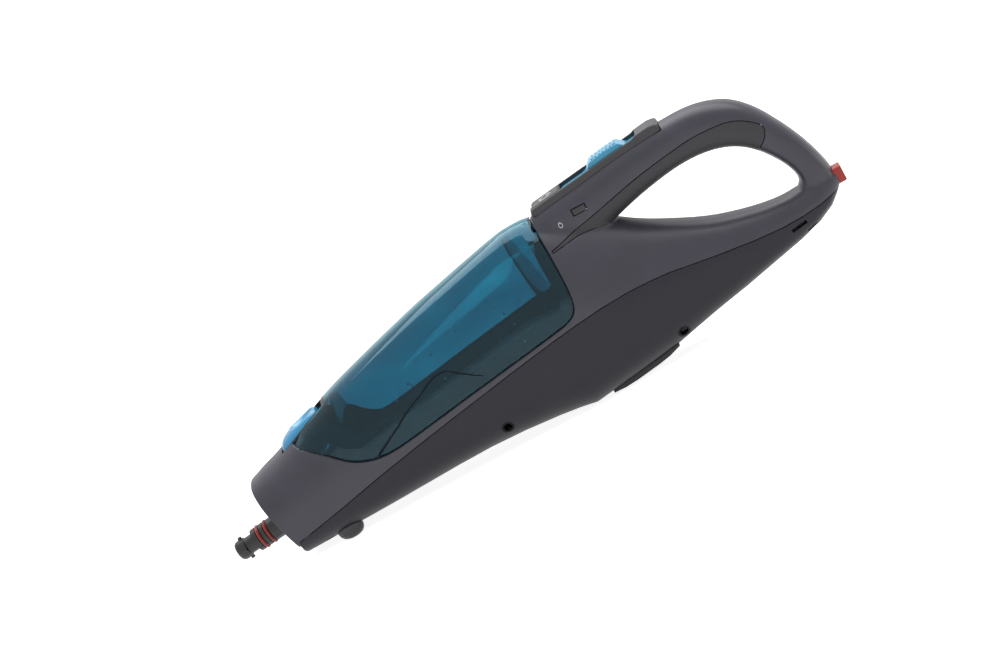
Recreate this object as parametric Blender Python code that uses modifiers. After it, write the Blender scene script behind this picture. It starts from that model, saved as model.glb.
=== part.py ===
"""Hand-held steam cleaner with a loop handle, a lift-out water tank and a steam spigot.

Metres, +Z up, nozzle towards -X, handle towards +X. It stands on two front feet and on the corner of its
belly, both at z = 0, and the origin lies under the middle of its box.
"""

import math

import bmesh
import bpy
from mathutils import Matrix, Vector

# Overall sizes
LENGTH = 0.480
END_SHARE = 0.4975
HEIGHT = 0.148
HALF_WIDTH = 0.038

# Walls and clearances
WALL = 0.0025
SEAM_GAP = 0.0006
FIT = 0.0003
OVERRUN = 0.012
TINY = 0.00001

# Facets
RING_POINTS = 32
INNER_POINTS = 20
HANDLE_POINTS = 22
ROUND = 24
SMALL_ROUND = 14

# Hull sections: x in LENGTH, lowest and highest z in HEIGHT, half width in HALF_WIDTH, z of the widest point
# in HEIGHT, then the powers of the upper and lower halves.
HULL_SHARES = (
    (-0.450, 0.022, 0.399, 0.789, 0.209, 2.3, 2.7),
    (-0.427, 0.022, 0.421, 0.816, 0.216, 2.3, 2.7),
    (-0.402, 0.021, 0.451, 0.842, 0.223, 2.3, 2.7),
    (-0.377, 0.023, 0.477, 0.858, 0.230, 2.3, 2.7),
    (-0.346, 0.027, 0.519, 0.884, 0.243, 2.3, 2.7),
    (-0.312, 0.031, 0.568, 0.908, 0.257, 2.3, 2.7),
    (-0.260, 0.035, 0.630, 0.937, 0.277, 2.3, 2.7),
    (-0.208, 0.041, 0.681, 0.958, 0.294, 2.3, 2.7),
    (-0.156, 0.047, 0.729, 0.976, 0.311, 2.3, 2.7),
    (-0.104, 0.049, 0.774, 0.989, 0.328, 2.3, 2.7),
    (-0.052, 0.042, 0.813, 1.000, 0.345, 2.3, 2.7),
    (0.000, 0.027, 0.851, 1.000, 0.358, 2.3, 2.7),
    (0.031, 0.014, 0.872, 1.000, 0.365, 2.3, 2.7),
    (0.054, 0.000, 0.884, 0.995, 0.368, 2.2, 2.7),
    (0.090, 0.016, 0.880, 0.987, 0.368, 2.1, 2.7),
    (0.125, 0.031, 0.833, 0.958, 0.361, 1.9, 2.7),
    (0.156, 0.045, 0.789, 0.918, 0.351, 1.8, 2.7),
    (0.194, 0.062, 0.705, 0.842, 0.338, 1.8, 2.6),
    (0.223, 0.082, 0.638, 0.771, 0.328, 1.9, 2.5),
    (0.260, 0.107, 0.569, 0.684, 0.314, 2.1, 2.4),
    (0.312, 0.139, 0.489, 0.600, 0.301, 2.3, 2.3),
    (0.365, 0.178, 0.438, 0.526, 0.296, 2.4, 2.3),
    (0.406, 0.208, 0.417, 0.474, 0.304, 2.5, 2.3),
    (0.438, 0.239, 0.420, 0.447, 0.321, 2.5, 2.3),
    (0.463, 0.279, 0.420, 0.408, 0.345, 2.4, 2.3),
    (0.476, 0.314, 0.419, 0.342, 0.368, 2.3, 2.2),
    (0.486, 0.348, 0.412, 0.237, 0.378, 2.2, 2.2),
)
LOW, HIGH, HALF, BELT, TOP_POWER, LOW_POWER = 1, 2, 3, 4, 5, 6

# Handle sections: outer x and z, inner x and z, then the half width.
HANDLE_SHARES = (
    (0.101, 0.907, 0.075, 0.635, 0.408),
    (0.129, 0.918, 0.125, 0.642, 0.421),
    (0.167, 0.932, 0.175, 0.662, 0.426),
    (0.204, 0.946, 0.200, 0.694, 0.426),
    (0.242, 0.960, 0.236, 0.726, 0.421),
    (0.279, 0.969, 0.274, 0.751, 0.416),
    (0.314, 0.975, 0.310, 0.765, 0.411),
    (0.350, 0.974, 0.343, 0.762, 0.405),
    (0.382, 0.953, 0.372, 0.740, 0.400),
    (0.410, 0.908, 0.396, 0.698, 0.395),
    (0.434, 0.828, 0.4145, 0.638, 0.389),
    (0.454, 0.722, 0.429, 0.570, 0.379),
    (0.469, 0.622, 0.4375, 0.512, 0.368),
    (0.480, 0.522, 0.4405, 0.465, 0.363),
    (0.486, 0.432, 0.437, 0.431, 0.353),
    (0.484, 0.350, 0.425, 0.385, 0.316),
)
HANDLE_POWER = 2.6
HOLLOW_START_SHARE = 0.22

# Side outlines, as x in LENGTH and z in HEIGHT
SIDE_SEAM_SHARES = (
    (-0.471, 0.075), (-0.400, 0.114), (-0.360, 0.141), (-0.315, 0.173), (-0.282, 0.198), (-0.249, 0.222),
    (-0.190, 0.260), (-0.132, 0.295), (-0.091, 0.318), (-0.032, 0.351), (0.006, 0.371), (0.045, 0.390),
    (0.083, 0.406), (0.125, 0.418), (0.165, 0.420), (0.200, 0.412), (0.230, 0.399), (0.259, 0.380), (0.303, 0.354),
    (0.347, 0.333), (0.391, 0.319), (0.422, 0.320), (0.450, 0.328), (0.471, 0.340), (0.521, 0.356),
)
TANK_SHARES = (
    (-0.375, 0.620), (-0.340, 0.489), (-0.332, 0.470), (-0.306, 0.413), (-0.282, 0.346), (-0.266, 0.316),
    (-0.250, 0.299), (-0.236, 0.292), (-0.220, 0.291), (-0.200, 0.296), (-0.146, 0.321), (-0.107, 0.341),
    (-0.060, 0.363), (-0.020, 0.382), (0.017, 0.399), (0.063, 0.421), (0.079, 0.434), (0.090, 0.456),
    (0.096, 0.494), (0.099, 0.560), (0.0995, 0.640), (0.0990, 0.719), (0.0975, 0.790), (0.0945, 0.868), (0.0880, 0.986),
)
NOSE_SHARES = (
    (-0.4255, 0.480), (-0.4275, 0.440), (-0.4275, 0.405), (-0.4240, 0.360), (-0.4195, 0.295), (-0.4150, 0.240),
    (-0.4100, 0.172), (-0.4060, 0.114), (-0.4030, 0.066), (-0.4010, 0.011), (-0.3990, -0.040),
)
GRIP_TOP_SHARES = (
    (0.104, 0.730), (0.130, 0.743), (0.182, 0.777), (0.236, 0.817), (0.278, 0.840), (0.3275, 0.861), (0.353, 0.863),
    (0.377, 0.858), (0.396, 0.846), (0.4115, 0.821), (0.424, 0.789), (0.432, 0.755), (0.428, 0.715), (0.414, 0.672),
    (0.397, 0.640),
)
GRIP_FOOT_SHARES = ((0.104, 0.720), (0.140, 0.726), (0.167, 0.714), (0.183, 0.700), (0.194, 0.696), (0.215, 0.686))

# Colours as red, green, blue, then roughness and metallic
FINISHES = {
    "housing_grey": ((0.060, 0.058, 0.066), 0.42, 0.0),
    "lower_grey": ((0.043, 0.042, 0.048), 0.45, 0.0),
    "grip_rubber": ((0.030, 0.030, 0.034), 0.70, 0.0),
    "console_grey": ((0.040, 0.040, 0.045), 0.38, 0.0),
    "tank_teal": ((0.020, 0.200, 0.290), 0.10, 0.0),
    "latch_blue": ((0.020, 0.230, 0.460), 0.28, 0.0),
    "slider_blue": ((0.050, 0.300, 0.480), 0.35, 0.0),
    "button_red": ((0.550, 0.040, 0.025), 0.35, 0.0),
    "seal_red": ((0.330, 0.040, 0.028), 0.55, 0.0),
    "seal_black": ((0.020, 0.020, 0.020), 0.75, 0.0),
    "nozzle_black": ((0.013, 0.013, 0.015), 0.32, 0.0),
    "inner_plastic": ((0.110, 0.110, 0.115), 0.55, 0.0),
    "aluminium": ((0.600, 0.610, 0.620), 0.35, 1.0),
    "steel": ((0.520, 0.520, 0.530), 0.30, 1.0),
    "brass": ((0.600, 0.430, 0.170), 0.32, 1.0),
    "copper_winding": ((0.420, 0.160, 0.070), 0.45, 0.6),
    "hose_silicone": ((0.600, 0.590, 0.560), 0.50, 0.0),
    "board_green": ((0.030, 0.160, 0.060), 0.50, 0.0),
    "switch_black": ((0.015, 0.015, 0.016), 0.45, 0.0),
}


def x_at(share):
    """Place along the object, from a share of its length."""
    return share * LENGTH


def z_at(share):
    """Height, from a share of the object's height."""
    return share * HEIGHT


def clear_scene():
    """Remove everything that the scene holds."""
    for obj in list(bpy.data.objects):
        bpy.data.objects.remove(obj, do_unlink=True)


def new_collection(name):
    """A collection of that name in the scene."""
    collection = bpy.data.collections.new(name)
    bpy.context.scene.collection.children.link(collection)
    return collection


def finish_of(name):
    """The material of that name, made once."""
    material = bpy.data.materials.get(name)
    if material:
        return material
    colour, roughness, metallic = FINISHES[name]
    material = bpy.data.materials.new(name)
    material.use_nodes = True
    shader = material.node_tree.nodes["Principled BSDF"]
    shader.inputs["Base Color"].default_value = (*colour, 1.0)
    shader.inputs["Roughness"].default_value = roughness
    shader.inputs["Metallic"].default_value = metallic
    return material


# Meshes


def object_of(name, mesh_data, finish=None):
    """An object from a bmesh: a part with a finish, or a hidden cutter without one."""
    bmesh.ops.recalc_face_normals(mesh_data, faces=mesh_data.faces)
    mesh = bpy.data.meshes.new(name)
    mesh_data.to_mesh(mesh)
    mesh_data.free()
    mesh.shade_smooth()
    mesh.set_sharp_from_angle(angle=math.radians(SHARP_DEGREES))
    obj = bpy.data.objects.new(name, mesh)
    place(obj, finish)
    return obj


def place(obj, finish):
    """Link an object among the parts, or among the hidden cutters where it has no finish."""
    if finish:
        obj.data.materials.clear()
        obj.data.materials.append(finish_of(finish))
        PARTS.objects.link(obj)
    else:
        obj.hide_render = True
        obj.display_type = "WIRE"
        CUTTERS.objects.link(obj)


def loft(name, rings, finish=None):
    """A closed body through rings of points that all hold the same count."""
    shape = bmesh.new()
    rows = [[shape.verts.new(point) for point in ring] for ring in rings]
    count = len(rows[0])
    for near, far in zip(rows, rows[1:]):
        for i in range(count):
            j = (i + 1) % count
            shape.faces.new((near[i], near[j], far[j], far[i]))
    shape.faces.new(rows[0])
    shape.faces.new(list(reversed(rows[-1])))
    return object_of(name, shape, finish)


def prism(name, outline, along, finish=None):
    """A flat outline of 3-D points pushed out along a vector."""
    shape = bmesh.new()
    face = shape.faces.new([shape.verts.new(point) for point in outline])
    pushed = bmesh.ops.extrude_face_region(shape, geom=[face])
    moved = [item for item in pushed["geom"] if isinstance(item, bmesh.types.BMVert)]
    bmesh.ops.translate(shape, verts=moved, vec=along)
    return object_of(name, shape, finish)


def side_prism(name, outline, half, finish=None, middle=0.0):
    """A side outline of (x, z) points, as wide as half on each side of the middle."""
    points = [Vector((x, middle - half, z)) for x, z in outline]
    return prism(name, points, Vector((0, half + half, 0)), finish)


def box(name, low, high, finish=None):
    """An upright box between two corners."""
    shape = bmesh.new()
    low, high = Vector(low), Vector(high)
    size = high - low
    move = Matrix.Translation((low + high) / 2) @ Matrix.Diagonal((*size, 1))
    bmesh.ops.create_cube(shape, size=1, matrix=move)
    return object_of(name, shape, finish)


def rod(name, start, end, radius, finish=None, segments=None, end_radius=None):
    """A round bar, or a cone, between two points."""
    start, end = Vector(start), Vector(end)
    along = end - start
    turn = along.to_track_quat("Z", "Y").to_matrix().to_4x4()
    shape = bmesh.new()
    bmesh.ops.create_cone(
        shape, cap_ends=True, segments=segments or SMALL_ROUND, radius1=radius,
        radius2=radius if end_radius is None else end_radius, depth=along.length,
        matrix=Matrix.Translation((start + end) / 2) @ turn,
    )
    return object_of(name, shape, finish)


def turned(name, profile, origin, axis, finish=None, steps=ROUND):
    """A closed profile of (radius, height) points turned about an axis through the origin."""
    mesh = bpy.data.meshes.new(name)
    count = len(profile)
    edges = [(i, (i + 1) % count) for i in range(count)]
    mesh.from_pydata([(radius, 0, height) for radius, height in profile], edges, [])
    obj = bpy.data.objects.new(name, mesh)
    screw = obj.modifiers.new("Turn", "SCREW")
    screw.steps = screw.render_steps = steps
    screw.use_merge_vertices = True
    screw.merge_threshold = TINY
    turn = Vector(axis).to_track_quat("Z", "Y").to_matrix().to_4x4()
    obj.matrix_world = Matrix.Translation(origin) @ turn
    place(obj, None)
    solid = baked(obj, name, finish)
    return solid


def tube(name, points, radius, finish=None, sides=1, closed=False):
    """A round tube along a list of points, as one closed mesh."""
    data = bpy.data.curves.new(name, "CURVE")
    data.dimensions = "3D"
    data.bevel_depth = radius
    data.bevel_resolution = sides
    data.use_fill_caps = True
    spline = data.splines.new("POLY")
    spline.points.add(len(points) - 1)
    for slot, point in zip(spline.points, points):
        slot.co = (*point, 1)
    spline.use_cyclic_u = closed
    curve = bpy.data.objects.new(name, data)
    place(curve, None)
    return baked(curve, name, finish)


def baked(source, name, finish=None):
    """The evaluated mesh of an object as a new object; the source goes."""
    source.name = name + ".source"
    bpy.context.view_layer.update()
    graph = bpy.context.evaluated_depsgraph_get()
    evaluated = source.evaluated_get(graph)
    shape = bmesh.new()
    shape.from_mesh(evaluated.to_mesh())
    shape.transform(evaluated.matrix_world)
    evaluated.to_mesh_clear()
    bmesh.ops.remove_doubles(shape, verts=shape.verts, dist=TINY)
    bpy.data.objects.remove(source, do_unlink=True)
    return object_of(name, shape, finish)


def copied(source, name, finish=None):
    """A new object with its own copy of a mesh."""
    obj = bpy.data.objects.new(name, source.data.copy())
    place(obj, finish)
    return obj


def operate(target, tool, operation):
    """Add a Boolean to the target."""
    modifier = target.modifiers.new(operation.title() + " " + tool.name, "BOOLEAN")
    modifier.operation = operation
    modifier.object = tool
    return target


def keep(target, tool):
    """Keep what lies inside the tool."""
    return operate(target, tool, "INTERSECT")


def cut(target, tool):
    """Take the tool away."""
    return operate(target, tool, "DIFFERENCE")


def join(target, tool):
    """Add the tool."""
    return operate(target, tool, "UNION")


def rounded(target, width, segments=2):
    """Round the sharp edges of a plain shape."""
    modifier = target.modifiers.new("Rounding", "BEVEL")
    modifier.width = width
    modifier.segments = segments
    modifier.limit_method = "ANGLE"
    modifier.angle_limit = math.radians(BEVEL_DEGREES)
    return target


SHARP_DEGREES = 32
BEVEL_DEGREES = 40


# Outlines


def places(shares):
    """(x, z) points in metres from a table of shares."""
    return [Vector((x_at(x), z_at(z))) for x, z in shares]


def smooth_line(points, steps=3):
    """Points along a smooth curve through the given ones."""
    found = []
    last = len(points) - 1
    for i in range(last):
        before, start = points[max(i - 1, 0)], points[i]
        end, after = points[i + 1], points[min(i + 2, last)]
        for step in range(steps):
            t = step / steps
            pull = (end - before) / 2
            push = (after - start) / 2
            found.append(
                start * (2 * t**3 - 3 * t**2 + 1) + pull * (t**3 - 2 * t**2 + t)
                + end * (3 * t**2 - 2 * t**3) + push * (t**3 - t**2)
            )
    found.append(points[last])
    return found


def shifted(line, distance):
    """A line moved sideways, to the left of its own direction where the distance is positive."""
    moved = []
    last = len(line) - 1
    for i, point in enumerate(line):
        run = (line[min(i + 1, last)] - line[max(i - 1, 0)]).normalized()
        moved.append(point + Vector((-run.y, run.x)) * distance)
    return moved


SIDE_SEAM = smooth_line(places(SIDE_SEAM_SHARES), 1)
TANK_LINE = smooth_line(places(TANK_SHARES), 2)
NOSE_LINE = smooth_line(places(NOSE_SHARES), 2)
GRIP_TOP = smooth_line(places(GRIP_TOP_SHARES), 2)
GRIP_FOOT = smooth_line(places(GRIP_FOOT_SHARES), 2)


# The outer form


def hull_value(column, x):
    """A hull measure at x: straight between sections for the low line, smooth for the rest."""
    share = x / LENGTH
    rows = HULL_SHARES
    last = len(rows) - 1
    i = max(k for k in range(last) if k == 0 or rows[k][0] <= share)
    start, end = rows[i], rows[i + 1]
    t = (share - start[0]) / (end[0] - start[0])
    t = min(max(t, 0), 1)
    if column in (LOW, TOP_POWER, LOW_POWER):
        value = start[column] + (end[column] - start[column]) * t
    else:
        before, after = rows[max(i - 1, 0)], rows[min(i + 2, last)]
        span = end[0] - start[0]
        pull = (end[column] - before[column]) / (end[0] - before[0]) * span
        push = (after[column] - start[column]) / (after[0] - start[0]) * span
        value = (
            start[column] * (2 * t**3 - 3 * t**2 + 1) + pull * (t**3 - 2 * t**2 + t)
            + end[column] * (3 * t**2 - 2 * t**3) + push * (t**3 - t**2)
        )
    if column == HALF:
        return value * HALF_WIDTH
    if column in (TOP_POWER, LOW_POWER):
        return value
    return z_at(value)


def hull_ring(x, inset, count=RING_POINTS):
    """One section of the hull, drawn in by the inset."""
    low = hull_value(LOW, x) + inset
    high = hull_value(HIGH, x) - inset
    half = hull_value(HALF, x) - inset
    belt = hull_value(BELT, x)
    ring = []
    for i in range(count):
        angle = math.tau * (i + 0.5) / count
        side, rise = math.cos(angle), math.sin(angle)
        power = hull_value(TOP_POWER if rise > 0 else LOW_POWER, x)
        reach = high - belt if rise > 0 else belt - low
        y = math.copysign(abs(side) ** (2 / power), side) * half
        z = belt + math.copysign(abs(rise) ** (2 / power), rise) * reach
        ring.append(Vector((x, y, z)))
    return ring


def hull_side(x, z, inset=0.0):
    """Half width of the hull at a place and height."""
    belt = hull_value(BELT, x)
    half = hull_value(HALF, x) - inset
    if z > belt:
        share = (z - belt) / (hull_value(HIGH, x) - inset - belt)
        power = hull_value(TOP_POWER, x)
    else:
        share = (belt - z) / (belt - hull_value(LOW, x) - inset)
        power = hull_value(LOW_POWER, x)
    return half * max(1 - share**power, 0) ** (1 / power)


def hull_floor(x):
    """Top of the floor inside the hull."""
    return hull_value(LOW, x) + WALL


def hull(name, inset, first=0, last=None, count=RING_POINTS, every=1):
    """The hull as a closed body through its sections, or through some of them."""
    rows = HULL_SHARES[first:last]
    rows = rows[:-1:every] + rows[-1:]
    return loft(name, [hull_ring(x_at(row[0]), inset, count) for row in rows])


def hull_inside(name, inset):
    """The room inside the hull, through every other section."""
    return hull(name, inset, count=INNER_POINTS, every=2)


def handle_ring(row, inset, count=HANDLE_POINTS):
    """One section of the handle, square to its path."""
    outer = Vector((x_at(row[0]), 0, z_at(row[1])))
    inner = Vector((x_at(row[2]), 0, z_at(row[3])))
    middle = (outer + inner) / 2
    rise = outer - middle
    reach = rise.length - inset
    rise.normalize()
    half = row[4] * HALF_WIDTH - inset
    ring = []
    for i in range(count):
        angle = math.tau * (i + 0.5) / count
        side = math.copysign(abs(math.cos(angle)) ** (2 / HANDLE_POWER), math.cos(angle))
        up = math.copysign(abs(math.sin(angle)) ** (2 / HANDLE_POWER), math.sin(angle))
        ring.append(middle + rise * (up * reach) + Vector((0, side * half, 0)))
    return ring


def handle_rows(steps):
    """Handle sections with smooth ones between them."""
    points = [Vector(row) for row in HANDLE_SHARES]
    return smooth_line(points, steps)


def handle(name, inset, steps, count, trim=False):
    """The handle as a closed body; trimmed, it starts a little later and ends a section earlier."""
    rows = handle_rows(steps)
    if trim:
        rows = [rows[0].lerp(rows[1], HOLLOW_START_SHARE)] + rows[1:-1]
    return loft(name, [handle_ring(row, inset, count) for row in rows])


# Console frame: a line along the top of the handle front

CONSOLE_START_X = 0.0490
CONSOLE_DEGREES = 6.8
CONSOLE_DROP = 0.0004
CONSOLE_LENGTH = 0.1000
CONSOLE_WIDTH = 0.0220
CONSOLE_DEPTH = 0.0050
CONSOLE_RAIL_WIDTH = 0.0022
CONSOLE_RAIL_RISE = 0.0014
CONSOLE_HOOD_LENGTH = 0.0160
CONSOLE_HOOD_RISE = 0.0022
CONSOLE_DECK_DEPTH = 0.0022


def handle_top(x):
    """Height of the handle's top line."""
    rows = handle_rows(2)
    share = x / LENGTH
    for near, far in zip(rows, rows[1:]):
        if near[0] <= share <= far[0]:
            return z_at(near[1] + (far[1] - near[1]) * (share - near[0]) / (far[0] - near[0]))
    return z_at(rows[0][1])


def console_point(along, up, y=0.0):
    """A point from its distance along the console and above its top plane."""
    angle = math.radians(CONSOLE_DEGREES)
    start = Vector((CONSOLE_START_X, 0, handle_top(CONSOLE_START_X) - CONSOLE_DROP))
    run = Vector((math.cos(angle), 0, math.sin(angle)))
    rise = Vector((-math.sin(angle), 0, math.cos(angle)))
    return start + run * along + rise * up + Vector((0, y, 0))


def console_prism(name, outline, half, finish=None):
    """An outline of (along, up) points in the console's frame, as wide as half on each side."""
    points = [console_point(along, up, -half) for along, up in outline]
    return prism(name, points, Vector((0, half + half, 0)), finish)


def console_box(name, start, end, low, high, half, finish=None):
    """A box in the console's frame."""
    return console_prism(name, [(start, low), (end, low), (end, high), (start, high)], half, finish)


# Housing shells

RIB_THICKNESS = 0.0020
SCREW_HEAD_RADIUS = 0.0028
SCREW_HEAD_HEIGHT = 0.0022
SCREW_SHANK_RADIUS = 0.0015
SCREW_LENGTH = 0.0200
SCREW_SLOT = 0.0008
BOSS_RADIUS = 0.0056
RECESS_RADIUS = 0.0033
RECESS_FLOOR_Y = 0.0110
SCREW_PLACE_SHARES = {"front": (-0.067, 0.133), "rear": (0.206, 0.122)}
VENT_LENGTH = 0.0114
VENT_HEIGHT = 0.0024
VENT_PLACE_SHARES = (0.411, 0.288)
VENT_DEGREES = 7.0
CORNER_VENT_LENGTH = 0.0080
CORNER_VENT_PLACE_SHARES = (0.4264, 0.2512)
SNAP_SLOT_LENGTH = 0.0070
SNAP_SLOT_WIDTH = 0.0020
SNAP_SLOT_PLACE_SHARES = (-0.364, 0.500)
CLIP_LENGTH = 0.0105
CLIP_HEIGHT = 0.0052
CLIP_PLACE_SHARES = (0.1615, 0.824)
CLIP_MARGIN = 0.0007
CLIP_THICKNESS = 0.0016


def housing_forms():
    """The solid outer form and the hollow that the shells go round, with ribs and bosses left standing."""
    outer = join(hull("outer_hull", 0), handle("outer_handle", 0, 2, HANDLE_POINTS))
    outer = baked(outer, "outer_form")
    hollow = join(
        hull_inside("inner_hull", WALL),
        handle("inner_handle", WALL, 1, HANDLE_POINTS * 2 // 3, trim=True),
    )
    hollow = baked(hollow, "hollow_plain")
    for rib in floor_ribs():
        cut(hollow, rib)
    for name, shares in SCREW_PLACE_SHARES.items():
        cut(hollow, boss(name, shares))
    return outer, baked(hollow, "hollow_form")


def boss(name, shares):
    """The round post that a housing screw runs through."""
    x, z = x_at(shares[0]), z_at(shares[1])
    return rod("boss_" + name, (x, -HALF_WIDTH, z), (x, HALF_WIDTH, z), BOSS_RADIUS, segments=SMALL_ROUND)


def floor_ribs():
    """Upright ribs on the floor that carry the boiler, the pump mount and the board."""
    ribs = []
    for place in BOILER_RIB_SHARES:
        x = boiler_x(place)
        ribs.append(floor_rib(x, BOILER_LOW - FIT, BOILER_WIDTH / 2 + RIB_THICKNESS))
    for place in PUMP_RIB_SHARES:
        x = PUMP_X + place * PUMP_MOUNT_LENGTH
        ribs.append(floor_rib(x, PUMP_MOUNT_LOW - FIT, PUMP_MOUNT_WIDTH / 2))
    for place in BOARD_RIB_SHARES:
        point = board_point(place * BOARD_LENGTH, -FIT)
        ribs.append(floor_rib(point.x, point.z - RIB_THICKNESS / 5, BOARD_WIDTH / 2))
    return ribs


def floor_rib(x, top, half):
    """One rib across the floor, up to a height."""
    low = (x - RIB_THICKNESS / 2, -half, hull_value(LOW, x) - OVERRUN)
    return box("rib", low, (x + RIB_THICKNESS / 2, half, top))


def lower_region():
    """Side outline of the lower housing: behind the nose line and under the side seam."""
    seam = [point for point in shifted(SIDE_SEAM, -SEAM_GAP / 2)]
    nose = [point for point in NOSE_LINE if point.y < seam[0].y]
    seam = [point for point in seam if point.x > nose[0].x]
    deep = -OVERRUN
    return nose + [Vector((x_at(END_SHARE) + OVERRUN, deep))] + list(reversed(seam))


def upper_region():
    """Side outline of the upper housing: behind the nose line and over the side seam."""
    seam = [point for point in shifted(SIDE_SEAM, SEAM_GAP / 2)]
    nose = [point for point in NOSE_LINE if point.y > seam[0].y]
    seam = [point for point in seam if point.x > nose[-1].x]
    high = HEIGHT + OVERRUN
    return list(reversed(nose)) + [Vector((nose[0].x, high)), Vector((x_at(END_SHARE) + OVERRUN, high))] + list(
        reversed(seam)
    )


def tank_region(offset):
    """Side outline of the tank, drawn in by the offset, or grown where it is negative."""
    line = shifted(TANK_LINE, offset)
    return line + [Vector((line[-1].x, HEIGHT + OVERRUN)), Vector((line[0].x, HEIGHT + OVERRUN))]


def grip_region(offset):
    """Side outline of the grip, grown by the offset."""
    top = shifted(GRIP_TOP, offset)
    foot = shifted(GRIP_FOOT, -offset)
    front = Vector((GRIP_TOP[0].x - offset, 0))
    top[0].x = foot[0].x = front.x
    reach = places(LOOP_CORE_SHARES)
    return top + reach + list(reversed(foot))


LOOP_CORE_SHARES = ((0.388, 0.600), (0.300, 0.625))


def half_space(name, side):
    """Everything on one side of the middle plane, less half the seam."""
    wide = HALF_WIDTH + OVERRUN
    long = LENGTH / 2 + OVERRUN
    low, high = sorted((side * SEAM_GAP / 2, side * wide))
    return box(name, (-long, low, -OVERRUN), (long, high, HEIGHT + OVERRUN))


def housing_shells(outer, hollow, tools):
    """The four housing halves and the grip."""
    wide = HALF_WIDTH + OVERRUN
    lower_form = baked(
        cut(keep(copied(outer, "lower_form"), side_prism("lower_region", lower_region(), wide)), hollow),
        "lower_shell",
    )
    upper = keep(copied(outer, "upper_form"), side_prism("upper_region", upper_region(), wide))
    cut(upper, side_prism("tank_bay", tank_region(-SEAM_GAP / 2), wide))
    cut(upper, side_prism("grip_bay", grip_region(SEAM_GAP / 2), wide))
    cut(upper, hollow)
    upper_form = baked(upper, "upper_shell")
    grip = keep(copied(outer, "handle_grip", "grip_rubber"), side_prism("grip_keep", grip_region(-SEAM_GAP / 2), wide))
    cut(grip, hollow)
    for name, side in (("left", -1), ("right", 1)):
        lower = copied(lower_form, "lower_housing_" + name, "lower_grey")
        keep(lower, tools["half_" + name])
        for tool in lower_tools(name, side):
            cut(lower, tool)
        body = copied(upper_form, "housing_" + name, "housing_grey")
        keep(body, tools["half_" + name])
        for tool in upper_tools(name):
            cut(body, tool)


def lower_tools(name, side):
    """What is cut from one half of the lower housing."""
    tools = [vent_tool(name, side), corner_vent_tool(name, side), snap_slot_tool(name, side)]
    tools.append(rear_bore("rear_bore_low_" + name))
    tools.append(rear_spring_room("rear_room_low_" + name))
    for place_name, shares in SCREW_PLACE_SHARES.items():
        x, z = x_at(shares[0]), z_at(shares[1])
        if side < 0:
            wide = -HALF_WIDTH - OVERRUN
            tools.append(rod("recess", (x, wide, z), (x, -RECESS_FLOOR_Y, z), RECESS_RADIUS))
        shank = SCREW_SHANK_RADIUS + FIT
        deep = SCREW_LENGTH - RECESS_FLOOR_Y + FIT
        tools.append(rod("pilot", (x, -RECESS_FLOOR_Y - TINY, z), (x, deep, z), shank))
    return tools


def vent_tool(name, side):
    """The slot in the side wall near the rear."""
    x, z = x_at(VENT_PLACE_SHARES[0]), z_at(VENT_PLACE_SHARES[1])
    return slot_tool("vent_" + name, x, z, VENT_LENGTH, side)


def slot_tool(name, x, z, length, side):
    """A sloping slot through one side wall."""
    angle = math.radians(VENT_DEGREES)
    run = Vector((math.cos(angle), math.sin(angle))) * (length / 2)
    rise = Vector((-math.sin(angle), math.cos(angle))) * (VENT_HEIGHT / 2)
    middle = Vector((x, z))
    outline = [middle - run - rise, middle + run - rise, middle + run + rise, middle - run + rise]
    inside = hull_side(x, z, WALL) - OVERRUN / 4
    far = HALF_WIDTH + OVERRUN
    points = [Vector((px, side * inside, pz)) for px, pz in outline]
    return prism(name, points, Vector((0, side * (far - inside), 0)))


def corner_vent_tool(name, side):
    """The second slot, round the lower rear edge."""
    x, z = x_at(CORNER_VENT_PLACE_SHARES[0]), z_at(CORNER_VENT_PLACE_SHARES[1])
    half = CORNER_VENT_LENGTH / 2
    middle = hull_side(x, z) * 0.7
    reach = WALL + VENT_HEIGHT
    low, high = sorted((side * (middle - reach), side * (middle + reach)))
    return box("corner_vent_" + name, (x - half, low, z - reach), (x + half, high, z + VENT_HEIGHT / 2))


def snap_slot_tool(name, side):
    """The small slot in the bottom of the nose where a snap shows."""
    x = x_at(SNAP_SLOT_PLACE_SHARES[0])
    y = side * SNAP_SLOT_PLACE_SHARES[1] * HALF_WIDTH
    half = SNAP_SLOT_LENGTH / 2
    return box(
        "snap_slot_" + name, (x - half, y - SNAP_SLOT_WIDTH, -OVERRUN), (x + half, y + SNAP_SLOT_WIDTH, hull_floor(x) + OVERRUN / 2)
    )


def upper_tools(name):
    """What is cut from one half of the upper housing."""
    tools = [
        console_box("console_bay_" + name, -FIT, CONSOLE_LENGTH + FIT, -CONSOLE_DEPTH, OVERRUN, CONSOLE_WIDTH / 2 + FIT),
        clip_tool("clip_window_" + name, 0.0),
        latch_notch("latch_notch_" + name),
        rear_bore("rear_bore_" + name),
        rear_spring_room("rear_room_" + name),
    ]
    return tools


def clip_tool(name, margin):
    """The rectangular window in the side of the handle front, less a margin."""
    x, z = x_at(CLIP_PLACE_SHARES[0]), z_at(CLIP_PLACE_SHARES[1])
    half, tall = CLIP_LENGTH / 2 - margin, CLIP_HEIGHT / 2 - margin
    wide = HALF_WIDTH
    return box(name, (x - half, -wide, z - tall), (x + half, wide, z + tall))


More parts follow.
